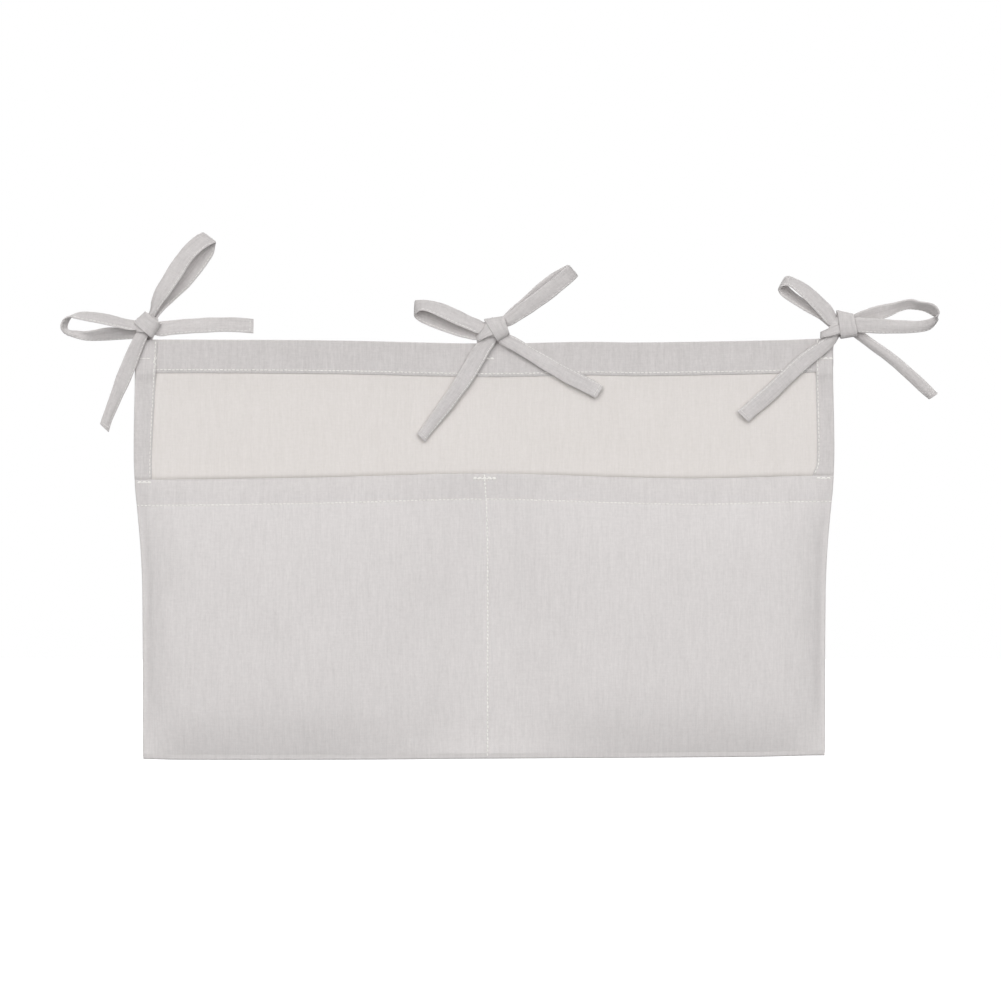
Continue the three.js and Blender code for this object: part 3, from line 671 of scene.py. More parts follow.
def cloth_material(name, dark, pale, slub, bump, painted_edge_highlight=False):
    """Plain-woven cotton of grey and paler yarns, with long upright slubs, short level ones and clouding.

    The last argument adds a painted highlight that makes the edges of a folded strap paler.
    """
    dark, pale = srgb(*dark), srgb(*pale)
    thing, tree, shader = material(name, dark, roughness=0.9, sheen=0.25)
    uv = tree.nodes.new("ShaderNodeUVMap")
    uv.uv_map = "Weave"
    source = uv.outputs["UV"]
    grains = {grain: grain_noise(tree, source, *sizes) for grain, sizes in GRAINS.items()}
    warp, weft = weave_pattern(tree, source)
    amount = weighted(tree, [(grains[grain], weight * slub) for grain, weight in GRAIN_SHADES.items()], 0.5)
    amount = maths(tree, "MULTIPLY_ADD", maths(tree, "SUBTRACT", weft, warp), YARN_SHADE, amount)
    # Painted highlight: the strap's folded edges made paler
    if painted_edge_highlight:
        amount = maths(tree, "MULTIPLY_ADD", edge_highlight_mask(tree, source), EDGE_HIGHLIGHT_AMOUNT, amount)
    shade(tree, shader, amount, dark, pale, clamp=False)
    yarns = maths(tree, "MAXIMUM", warp, weft)
    heights = [(yarns, YARN_RELIEF), *((grains[grain], weight) for grain, weight in GRAIN_RELIEF.items())]
    relief(tree, shader, weighted(tree, heights, 0.5), bump, RELIEF_DEPTH)
    tree.links.new(ranged(tree, grains["fine"], 0.82, 0.98), shader.inputs["Roughness"])
    return thing


def thread_material(name, colour):
    """Spun thread: fine slanting plies and a little unevenness."""
    pale = srgb(*colour)
    thing, tree, shader = material(name, pale, roughness=0.75, sheen=0.35)
    coordinates = tree.nodes.new("ShaderNodeTexCoord")
    noise = tree.nodes.new("ShaderNodeTexNoise")
    noise.inputs["Scale"].default_value = 2600
    plies = tree.nodes.new("ShaderNodeTexWave")
    plies.bands_direction = "DIAGONAL"
    plies.inputs["Scale"].default_value = 900
    plies.inputs["Distortion"].default_value = 1.5
    for node in (noise, plies):
        tree.links.new(coordinates.outputs["Object"], node.inputs["Vector"])
    shade(tree, shader, noise.outputs["Fac"], [0.88 * value for value in pale], pale)
    relief(tree, shader, plies.outputs["Fac"], 0.5, PLY_DEPTH)
    return thing


# Straps, whose sizes the strap's cloth needs too
STRAP_WIDTH = 12
STRAP_THICKNESS = 1.5
STRAP_BACK_SHIFT = 40

GREY = cloth_material("grey_cloth", (206, 202, 201), (225, 221, 220), slub=0.6, bump=0.5)
# Darker copies of the grey cloth, with painted shade, for the top hem, the side hems and the pocket rims
HEM_PAINTED_SHADE_GREY = cloth_material("grey_cloth_hem_painted_shade", (193, 189, 188), (213, 209, 208), slub=0.75, bump=0.5)
SIDE_PAINTED_SHADE_GREY = cloth_material("grey_cloth_side_painted_shade", (196, 192, 191), (216, 212, 211), slub=0.75, bump=0.5)
RIM_PAINTED_SHADE_GREY = cloth_material("grey_cloth_rim_painted_shade", (200, 196, 195), (220, 216, 215), slub=0.6, bump=0.5)
CREAM = cloth_material("cream_cloth", (217, 212, 208), (229, 224, 221), slub=0.6, bump=0.45)
STRAP = cloth_material("strap_cloth", (193, 189, 188), (214, 210, 209), slub=0.85, bump=0.55, painted_edge_highlight=True)
THREAD = thread_material("sewing_thread", (250, 248, 244))
STRAP_THREAD = thread_material("strap_thread", (242, 240, 237))


# Back panel with its bottom fold and top hem, one length of cloth


def rim_give(x, z):
    """How far the panel and its side hems give way behind the thick rim of the pockets."""
    below = rim_edge(x) - z
    fade = 1 - smoothstep(below, RIM_GIVE_FADE, RIM_GIVE_END)
    return RIM_GIVE * smoothstep(below, -RIM_GIVE_EDGE, RIM_GIVE_EDGE) * fade


def back_level(x, z):
    """Middle of the back panel's cloth, which gives way a little more behind each filled pocket."""
    below = rim_edge(x) - z
    up = (z - fold_top(x)) / (rim_edge(x) - fold_top(x))
    open_width = HALF_WIDTH - SIDE_MARGIN - CENTRE_MARGIN
    apart = np.clip((HALF_WIDTH - SIDE_MARGIN - np.abs(x)) / open_width, 0, 1)
    free = smoothstep(apart, 0, PANEL_BELLY_SIDE_SHARE) * smoothstep(1 - apart, 0, PANEL_BELLY_CENTRE_SHARE)
    under_rim = smoothstep(below, -RIM_GIVE_EDGE, PANEL_BELLY_TOP)
    belly = PANEL_BELLY * free * under_rim * smoothstep(up, 0, PANEL_BELLY_FOOT_SHARE)
    return BACK_MID + hang(x, z) + rim_give(x, z) + belly


def back_face(x, z):
    """Rear face of the back panel."""
    return back_level(x, z) + CLOTH / 2


def fold_front(x, z):
    """Front face of the bottom fold, which runs back from its lip to the turn."""
    turn = bottom_edge(x) + FOLD_RADIUS + CLOTH / 2
    down = np.clip((fold_top(x) - z) / (fold_top(x) - turn), 0, 1)
    return mix(POCKET_FRONT, PANEL_FRONT / 2 - 2 * FOLD_RADIUS - CLOTH / 2, down) + hang(x, z)


def top_hem_front(x, z):
    """Front face of the top hem, with gathers at its stitches."""
    row = top_hem_edge(x) + TOP_HEM_STITCH_INSET
    return HEM_FRONT + hang(x, z) + pucker(z - row, x)


def hem_edge(share, thicken, thick, settle):
    """A hem's thickness towards its edge, and how far its front falls back there."""
    settled = HEM_SETTLE * float(smoothstep(share, settle, 1))
    return mix(CLOTH, HEM_EDGE, float(smoothstep(share, thicken, thick))) - settled, settled


def panel_row(z, level, inset, thickness=CLOTH, travel=None):
    """A row of the panel's cloth: its points, their places in the weave and their thickness."""
    x = ACROSS * (side_edge(z) - inset)
    weave = np.stack([x, z if travel is None else travel], 1)
    return np.stack([x, level(x, z), z], 1), weave, np.full(len(x), thickness)


def hung(level):
    """A plain level that shares the unevenness of the hanging cloth."""
    return lambda x, z: level + hang(x, z)


def bottom_fold_rows(lip, floor):
    """Rows down the front of the bottom fold and round to the rear."""
    rows = [
        panel_row(z, lambda x, z: fold_front(x, z) + CLOTH / 2, CLOTH / 2)
        for z in (lip + LIP_OVERLAP, mix(lip, floor, 0.5), floor)
    ]
    for angle in half_turn(10):
        level = BACK_MID - FOLD_RADIUS * (1 + math.cos(angle))
        rows.append(panel_row(floor - FOLD_RADIUS * math.sin(angle), hung(level), CLOTH / 2))
    return rows


def top_hem_rows(crown, hem, radius, inset):
    """Rows over the top edge and down the front of the hem."""
    rows = []
    for angle in half_turn(8):
        level = (BACK_MID + HEM_MID) / 2 + radius * math.cos(angle)
        height = crown + radius * math.sin(angle)
        rows.append(panel_row(height, hung(level), inset, travel=crown + radius * angle))
    for share in np.linspace(0, 1, 26):
        height = mix(crown, hem, share)
        thickness, settled = hem_edge(share, *TOP_HEM_EDGE_SHARES)

        def level(x, z, lift=thickness / 2 + settled):
            return top_hem_front(x, z) + lift

        rows.append(panel_row(height, level, inset, thickness, travel=2 * crown - height))
    return rows


def build_panel_cloth():
    """One length of cloth from the pockets' lip, round the bottom, up the rear and over the top edge."""
    guess = ACROSS * HALF_WIDTH
    radius = (BACK_MID - HEM_MID) / 2
    inset = radius + CLOTH / 2
    floor = bottom_edge(guess) + FOLD_RADIUS + CLOTH / 2
    crown = top_edge(guess) - radius - CLOTH / 2
    hem = top_hem_edge(guess)
    rows = bottom_fold_rows(fold_top(guess), floor)
    for share in np.linspace(0, 1, int(PANEL_DROP / GRID_DOWN)):
        rows.append(panel_row(mix(floor, crown, share), back_level, inset))
    rows += top_hem_rows(crown, hem, radius, inset)
    mid, weave, thickness = (np.array(part)[:, ::-1] for part in zip(*rows))
    cloth = cloth_mesh("panel_cloth", mid, weave, thickness, cut=("first", "left", "right"))
    finish_piece(cloth, [GREY, CREAM], nodes=("back_panel", "bottom_fold", "top_hem"))
    low = hem.min() - 2
    # The top hem's outer faces take the darker grey with painted shade
    tone_faces(cloth, HEM_PAINTED_SHADE_GREY, lambda centre: centre.z > low and centre.y < HEM_MID)


def side_hem_front(x, z):
    """Front face of a side hem: over the top hem at the corner, and back on the panel below it."""
    below = top_hem_edge(x) - LAYER_GAP - z
    level = mix(CORNER_FRONT, HEM_FRONT, smoothstep(below, 0, SIDE_HEM_STEP))
    return level + hang(x, z) + rim_give(x, z)


def hem_flare(side, z):
    """How much wider a side hem is: the left one at its top, the right one just above the rim."""
    if side < 0:
        return LEFT_HEM_FLARE * np.maximum(0, 1 + z / POCKET_RIM_DROP)
    return RIGHT_HEM_FLARE * smoothstep(-z, POCKET_RIM_DROP - RIGHT_HEM_FLARE_HEIGHT, POCKET_RIM_DROP)


def side_turn_row(side, z):
    """A level row of points from the rear layer of a side, round its edge and in along the turned layer."""
    edge = side * HALF_WIDTH
    inside = float(smoothstep(rim_edge(edge) - z, 0, ALLOWANCE_START))
    allowance = HEM_BACK - 2 * CLOTH + ALLOWANCE_SLACK + hang(edge, z) + rim_give(edge, z)
    back = float(back_level(edge, z))
    turned = float(mix(side_hem_front(edge, z), allowance, inside)) + CLOTH / 2
    width = float(mix(SIDE_HEM_WIDTH + hem_flare(side, z), SEAM_ALLOWANCE, inside))
    outer = float(side_edge(z))
    radius = (back - turned) / 2
    start = outer - radius - CLOTH / 2
    row, thickness = [(side * start, back, z)], [CLOTH]
    for angle in half_turn(10):
        x = start + radius * math.sin(angle)
        row.append((side * x, (back + turned) / 2 + radius * math.cos(angle), z))
        thickness.append(CLOTH)
    for share in np.linspace(0, 1, 16):
        x = mix(start, outer - width, share)
        thick, settled = hem_edge(share, *SIDE_HEM_EDGE_SHARES)
        gap = x - (outer - width + SIDE_HEM_STITCH_INSET)
        gathers = float(pucker(gap, z + SIDE_GATHER_SHIFT)) * (1 - inside)
        row.append((side * x, turned + (thick - CLOTH) / 2 + settled + gathers, z))
        thickness.append(thick)
    return row, thickness


def build_side_turn(word, side):
    """Cloth turned in along one side: the side hem above the pocket, and the seam allowance inside it."""
    top, rim, low = (float(edge(side * HALF_WIDTH)) for edge in (top_edge, rim_edge, fold_top))
    upper = even(top - CLOTH / 2, rim, SIDE_TURN_GRID)
    lower = even(rim, low - SIDE_TURN_FOOT, 2 * SIDE_TURN_GRID)
    rows = [side_turn_row(side, float(z)) for z in (*upper, *lower[1:])]
    mid, thickness = (np.array(part)[:, ::side] for part in zip(*rows))
    cut = ("left",) if side > 0 else ("right",)
    cloth = cloth_mesh(f"side_turn_{word}", mid, mid[..., [0, 2]], thickness, cut)
    nodes = (f"side_hem_{word}", f"seam_allowance_{word}")
    # The side hem's outer faces take the darker grey with painted shade
    finish_piece(cloth, [SIDE_PAINTED_SHADE_GREY, CREAM], nodes=nodes)


# Pockets


def on_centre_margin(x, z):
    """Level of the pocket cloth beside the centre seam, pressed in at the stitches."""
    settled = smoothstep(z - fold_top(x), 0, SEAM_SETTLE)
    press = np.exp(-(((x - seam_line(z)) / SEAM_PRESS_REACH) ** 2))
    return mix(POCKET_FRONT, CORNER_FRONT, settled) + SEAM_PRESS * press * settled


def rim_rounding(x, z):
    """How far a pocket's front falls back just below its rim."""
    crown = rim_edge(x) - (2 * CLOTH + LAYER_GAP) / 2
    turn = np.clip(1 - (crown - z) / RIM_ROUNDING_HEIGHT, 0, 1)
    return RIM_ROUNDING * (1 - np.sqrt(1 - RIM_ROUNDNESS * turn * turn))


def pocket_gathers(x, z, up):
    """Gathers of a pocket's cloth at its hem stitches and beside the centre seam."""
    at_hem = pucker(z - (rim_edge(x) - POCKET_HEM_STITCH_DROP), x * HEM_GATHER_STRETCH + HEM_GATHER_SHIFT)
    at_seam = pucker(np.abs(x - seam_line(z)) - SEAM_GATHER_OFFSET, z * SEAM_GATHER_STRETCH)
    return at_hem * smoothstep(up, 0.5, 0.8) + SEAM_GATHERS * at_seam * smoothstep(up, 0, 0.1)


def pocket_front(x, z, side):
    """Front face of a pocket, in the side's own half of the panel."""
    outer = side * (side_edge(z) - SEAM_ROUNDING)
    inner = seam_line(z) + side * (CENTRE_MARGIN + LAYER_GAP)
    across = np.clip((x - outer) / (inner - outer), 0, 1)
    up = (z - fold_top(x)) / (rim_edge(x) - fold_top(x))
    apart = read_shares(BELLY_ACROSS_SHARES, across)
    base = mix(POCKET_FRONT, on_centre_margin(x, z), smoothstep(across, 0, 1))
    belly = (POCKET_BELLY + waves(POCKET_WAVES, x, z)) * apart * read_shares(BELLY_UP_SHARES, up)
    return base - belly + apart * rim_rounding(x, z) + hang(x, z) + pocket_gathers(x, z, up)


def pocket_middle(side):
    """Where a pocket's two halves of cloth meet, and where its mouth opens most."""
    return side * (HALF_WIDTH + CENTRE_MARGIN - SIDE_MARGIN) / 2


def side_roll(x, z):
    """How far a pocket's cloth turns back at the side seam."""
    depth = np.clip(1 - (side_edge(z) - CLOTH / 2 - np.abs(x)) / SIDE_ROLL_WIDTH, 0, 1)
    return SIDE_ROLL_DEPTH * (1 - np.sqrt(np.maximum(0, 1 - depth * depth)))


def pocket_rows(side, part):
    """Rows of half a pocket's cloth, up its front, over the rim and down the hem inside."""
    outer = part == "outer"
    middle = pocket_middle(side)
    shares = np.linspace(0, 1, int(abs(middle) / GRID))
    if outer:
        shares = np.concatenate([(0, 0.002, 0.004, 0.006, 0.009), shares[shares > 0.012]])
    guess = mix(side * HALF_WIDTH if outer else 0, middle, shares)
    rim, low = rim_edge(guess), fold_top(guess)
    roll = (CLOTH + LAYER_GAP) / 2
    crown = rim - roll - CLOTH / 2
    mid, weave = [], []

    def place(z):
        start = side * (side_edge(z) - CLOTH / 2) if outer else seam_line(z)
        return mix(start, middle, shares)

    def add_row(x, y, z, travel):
        mid.append(np.stack([x, y, z], 1))
        weave.append(np.stack([x, travel], 1))

    body_rows = int((PANEL_DROP - POCKET_RIM_DROP) / (1.2 * GRID))
    for share in (*np.linspace(0, 0.98, body_rows), *np.linspace(0.983, 1, 8)):
        z = mix(low, crown, share)
        x = place(z)
        add_row(x, pocket_front(x, z, side) + CLOTH / 2 + (side_roll(x, z) if outer else 0), z, z)
    x = place(crown)
    level = pocket_front(x, crown, side) + CLOTH / 2
    for angle in half_turn(8):
        height = crown + roll * math.sin(angle)
        add_row(x, level + roll * (1 - math.cos(angle)), height, crown + roll * angle)
    rear = level + 2 * roll
    for share in np.linspace(0, 1, 12):
        z = mix(crown, rim - POCKET_HEM_DEPTH, share)
        x = place(z)
        behind = pocket_front(x, z, side) + CLOTH / 2 + 2 * roll
        settled = mix(rear, behind, float(smoothstep(share, 0, POCKET_HEM_SETTLE)))
        add_row(x, np.minimum(rear, settled), z, 2 * crown - z)
    return np.array(mid), np.array(weave)


def build_pocket_half(word, side, part):
    """Half of a pocket's cloth, from the side seam or the centre seam to the pocket's middle."""
    mid, weave = pocket_rows(side, part)
    forward = (part == "outer") == (side < 0)
    if not forward:
        mid, weave = mid[:, ::-1], weave[:, ::-1]
    if part == "inner":
        cut, margin = ("first", "left", "right"), "centre_margin"
    else:
        cut, margin = ("first", "right" if forward else "left"), f"side_margin_{word}"
    cloth = cloth_mesh(f"pocket_{word}_{part}", mid, weave, cut=cut)
    nodes = (f"pocket_front_{word}", f"pocket_hem_{word}", margin)
    finish_piece(cloth, [GREY, CREAM], body=None, nodes=nodes)
    # The rim above the hem stitches takes the darker grey with painted shade
    tone_faces(cloth, RIM_PAINTED_SHADE_GREY, lambda centre: centre.z > float(rim_edge(centre.x)) - POCKET_HEM_STITCH_DROP)
    bend_pocket(cloth, side, part)


def bend_pocket(thing, side, part):
    """Bakes the cloth's placement into its mesh; the seam and the pocket's middle that it works out are not
    used.
    """
    height = -POCKET_RIM_DROP * MM
    seam = side * (HALF_WIDTH - SIDE_MARGIN) if part == "outer" else side * CENTRE_MARGIN
    start, end = (seam * MM, 0, height), (pocket_middle(side) * MM, 0, height)
    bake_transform(thing)
    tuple(start)
    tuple(end)


def build_pocket_stitches(word, side, part):
    near = side_edge(-POCKET_RIM_DROP) - ROW_END_GAP if part == "outer" else ROW_END_GAP
    middle = pocket_middle(side)

    def line(share):
        x = mix(side * near, middle, share)
        return x, float(rim_edge(x)) - POCKET_HEM_STITCH_DROP

    places = along_line(line, lambda x, z: pocket_front(x, z, side), count_for(abs(side * near - middle)))
    row = stitch_row(f"pocket_hem_stitches_{word}_{part}", places, body=None)
    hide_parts(f"pocket_hem_thread_{word}")
    bend_pocket(row, side, part)


# Rows of stitches on the panel


def build_hem_stitches():
    reach = HALF_WIDTH - SIDE_HEM_WIDTH - TOP_HEM_STITCH_END

    def line(share):
        x = mix(-reach, reach, share)
        return x, float(top_hem_edge(x)) + TOP_HEM_STITCH_INSET

    row = stitch_row("top_hem_stitches", through_line(line, top_hem_front, back_face, count_for(2 * reach)))
    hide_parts("top_hem_thread")


def corner_zigzag(x):
    """A few uneven stitches beside the left knot, at x."""
    def line(share):
        return x + ZIGZAG_WIDTH * math.sin(share * ZIGZAG_TURN), mix(ZIGZAG_TOP, ZIGZAG_FOOT, share)

    return along_line(line, side_hem_front, ZIGZAG_STITCHES)


def build_side_stitches(word, side):
    top, rim = (float(edge(side * HALF_WIDTH)) for edge in (top_edge, rim_edge))

    def line(share):
        z = mix(top - SIDE_HEM_STITCH_END, rim + SIDE_HEM_STITCH_END, share)
        inner = float(side_edge(z)) - SIDE_HEM_WIDTH - float(hem_flare(side, z))
        return side * (inner + SIDE_HEM_STITCH_INSET), z

    places = through_line(line, side_hem_front, back_face, count_for(top - rim))
    if side < 0:
        places += corner_zigzag(line(0.1)[0])
    row = stitch_row(f"side_hem_stitches_{word}", places)
    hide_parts(f"side_hem_thread_{word}")


def build_corner_tack(word, side):
    """The bar of stitches at one end of the pocket rim."""
    height = float(rim_edge(side * HALF_WIDTH)) - CORNER_TACK_DROP
    outer = HALF_WIDTH - CORNER_TACK_INSET
    build_bar(
        f"corner_tack_stitches_{word}", f"corner_tack_{word}", (side * outer, height),
        (side * (outer - CORNER_TACK_LENGTH), height), lambda x, z: pocket_front(x, z, side),
        radius=STITCH_RADIUS,
    )


def build_centre_seam():
    """The upright row between the pockets, and the bar of stitches at the rim above it."""
    rim, low = float(rim_edge(0)), float(bottom_edge(0)) + ROW_END_GAP

    def line(share):
        z = mix(rim - SEAM_TOP_GAP, low, share)
        return float(seam_line(z)), z

    def front(x, z):
        return float(fold_front(x, z)) if z < fold_top(x) else float(pocket_front(x, z, 1))

    places = through_line(line, front, back_face, count_for(rim - low))
    row = stitch_row("centre_seam_stitches", places, radius=SEAM_RADIUS)
    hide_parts("centre_seam_thread")
    z = rim - RIM_TACK_DROP
    x = float(seam_line(z))
    start, end = (x - RIM_TACK_LENGTH / 2, z), (x + RIM_TACK_LENGTH / 2, z)
    build_bar("centre_rim_tack_stitches", "centre_rim_tack", start, end, front)


# Straps
STRAP_STITCH_RADIUS = 0.22
STRAP_STEP = 1.1
SECTION_PLACES = (0.985, 0.94, 0.87, 0.8, 0.73, 0.55, 0.3, 0, -0.3, -0.55, -0.8, -0.93, -0.985)
STITCHED_PLACE = 0.8
STITCH_GROOVE = 0.2
STITCH_GROOVE_WIDTH = 0.06
STRAP_PILLOW = 0.1
GATHER_DEPTH = 2.4
END_FOLD = 6
END_FOLD_THICKENING = 0.4
EDGE_WAVES = ((0.012, 2.9, 0), (0.01, 5.3, 1))
CAP_SHARE = 0.94
CAP_DEPTH_SHARE = 0.2
FIRST_STRAP_STITCH = 8
TAIL_STITCH_END = 2.5
END_STITCH_INSET = 3.2
END_STITCH_MARGINS = (1.3, 0.8)
STRAP_STITCH_LIFT = 0.05
END_STITCH_LIFT = 0.1
KNOT_LEVEL = -6


def section_height(place):
    """Half thickness of a strap across its width, as a share: flat, with a groove at its stitches."""
    edge = (1 - abs(place) ** 9) ** 0.5
    groove = STITCH_GROOVE * math.exp(-(((place - STITCHED_PLACE) / STITCH_GROOVE_WIDTH) ** 2))
    return edge * (1 + STRAP_PILLOW * (1 - place * place)) - groove


def strap_section():
    """Points round a strap's section, as shares of its half width and half thickness."""
    front = [(place, section_height(place)) for place in SECTION_PLACES]
    back = [(place, -height) for place, height in reversed(front)]
    return np.array([(1, 0), *front, (-1, 0), *back])


SECTION = strap_section()
FRONT_GROOVE = 1 + SECTION_PLACES.index(STITCHED_PLACE)
BACK_GROOVE = len(SECTION) - FRONT_GROOVE


def strap_frames(middles, halves):
    """Close places along a strap, with the half-width vector, the direction ahead, the normal and travel."""
    middles, halves = np.array(middles, float), np.array(halves, float)
    chord = travelled(middles)
    at = even(0, chord[-1], STRAP_STEP)
    path, half = (
        np.stack([smooth(chord, line[:, k], at) for k in range(3)], 1) for line in (middles, halves)
    )
    ahead = unit(np.gradient(path, axis=0))
    return path, half, ahead, unit(np.cross(ahead, half)), travelled(path)


def strap_surface(frames, stitched, end_fold):
    """Rings of points round a strap. Where it is narrower than itself it gathers into a ridge."""
    path, half, _, normal, travel = frames
    ridge = GATHER_DEPTH * (1 - np.minimum(np.linalg.norm(half, axis=1) / (STRAP_WIDTH / 2), 1))
    fold = np.ones(len(path))
    if end_fold:
        start = travel[-1] - end_fold
        fold += END_FOLD_THICKENING * smoothstep(travel, start - 1, start)
    edge_wave = 1 + sum(height * np.sin(travel / length + phase) for height, length, phase in EDGE_WAVES)
    places = SECTION[:, 0] * stitched
    lift = np.outer(fold, SECTION[:, 1] * STRAP_THICKNESS / 2) + np.outer(ridge, np.cos(math.pi * places) / 2)
    spread = np.outer(edge_wave, places)
    return path[:, None] + spread[..., None] * half[:, None] + lift[..., None] * normal[:, None]


def strap_cap(edge, first):
    """Faces from the last ring of a strap, edge, to the ring that starts at first, and across that one."""
    ring = len(edge)
    cap = np.arange(first, first + ring)
    faces = np.stack([edge, np.roll(edge, -1), np.roll(cap, -1), cap], 1).tolist()
    for k in range(ring // 2):
        corners = (cap[k], cap[k + 1], cap[-k - 1], cap[(ring - k) % ring])
        faces.append(tuple(dict.fromkeys(corners)))
    return faces


def strap_mesh(name, frames, stitched=1, end_fold=0):
    """A flat folded strap through its frames, closed at both ends, and its rings of points."""
    path, travel = frames[0], frames[4]
    points = strap_surface(frames, stitched, end_fold)
    count, ring = points.shape[:2]
    weave = np.zeros((count, ring, 2))
    weave[..., 0] = SECTION[:, 0] * stitched * STRAP_WIDTH / 2 + STRAP_BACK_SHIFT * (SECTION[:, 1] < 0)
    weave[..., 1] = travel[:, None]
    grid = np.arange(count * ring).reshape(count, ring)
    following = np.roll(grid, -1, axis=1)
    faces = np.stack([grid[:-1], following[:-1], following[1:], grid[1:]], -1).reshape(-1, 4).tolist()
    flat, flat_weave = [points.reshape(-1, 3)], [weave.reshape(-1, 2)]
    for order, (row, inward) in enumerate(((0, 1), (count - 1, count - 2))):
        centre = points[row].mean(axis=0)
        outward = path[row] - path[inward]
        cap_points = centre + (points[row] - centre) * CAP_SHARE + outward * CAP_DEPTH_SHARE
        flat.append(cap_points)
        flat_weave.append(weave[row])
        faces += strap_cap(grid[row], (count + order) * ring)
    strap = make_mesh(name, np.vstack(flat), faces, np.vstack(flat_weave))
    turn_outwards(strap)
    return strap, points


LEFT_KNOT = (-HALF_WIDTH + 9.2, KNOT_LEVEL, 11.3)
CENTRE_KNOT = (7.2, KNOT_LEVEL, 8.1)
RIGHT_KNOT = (HALF_WIDTH + 6, KNOT_LEVEL, 10.9)

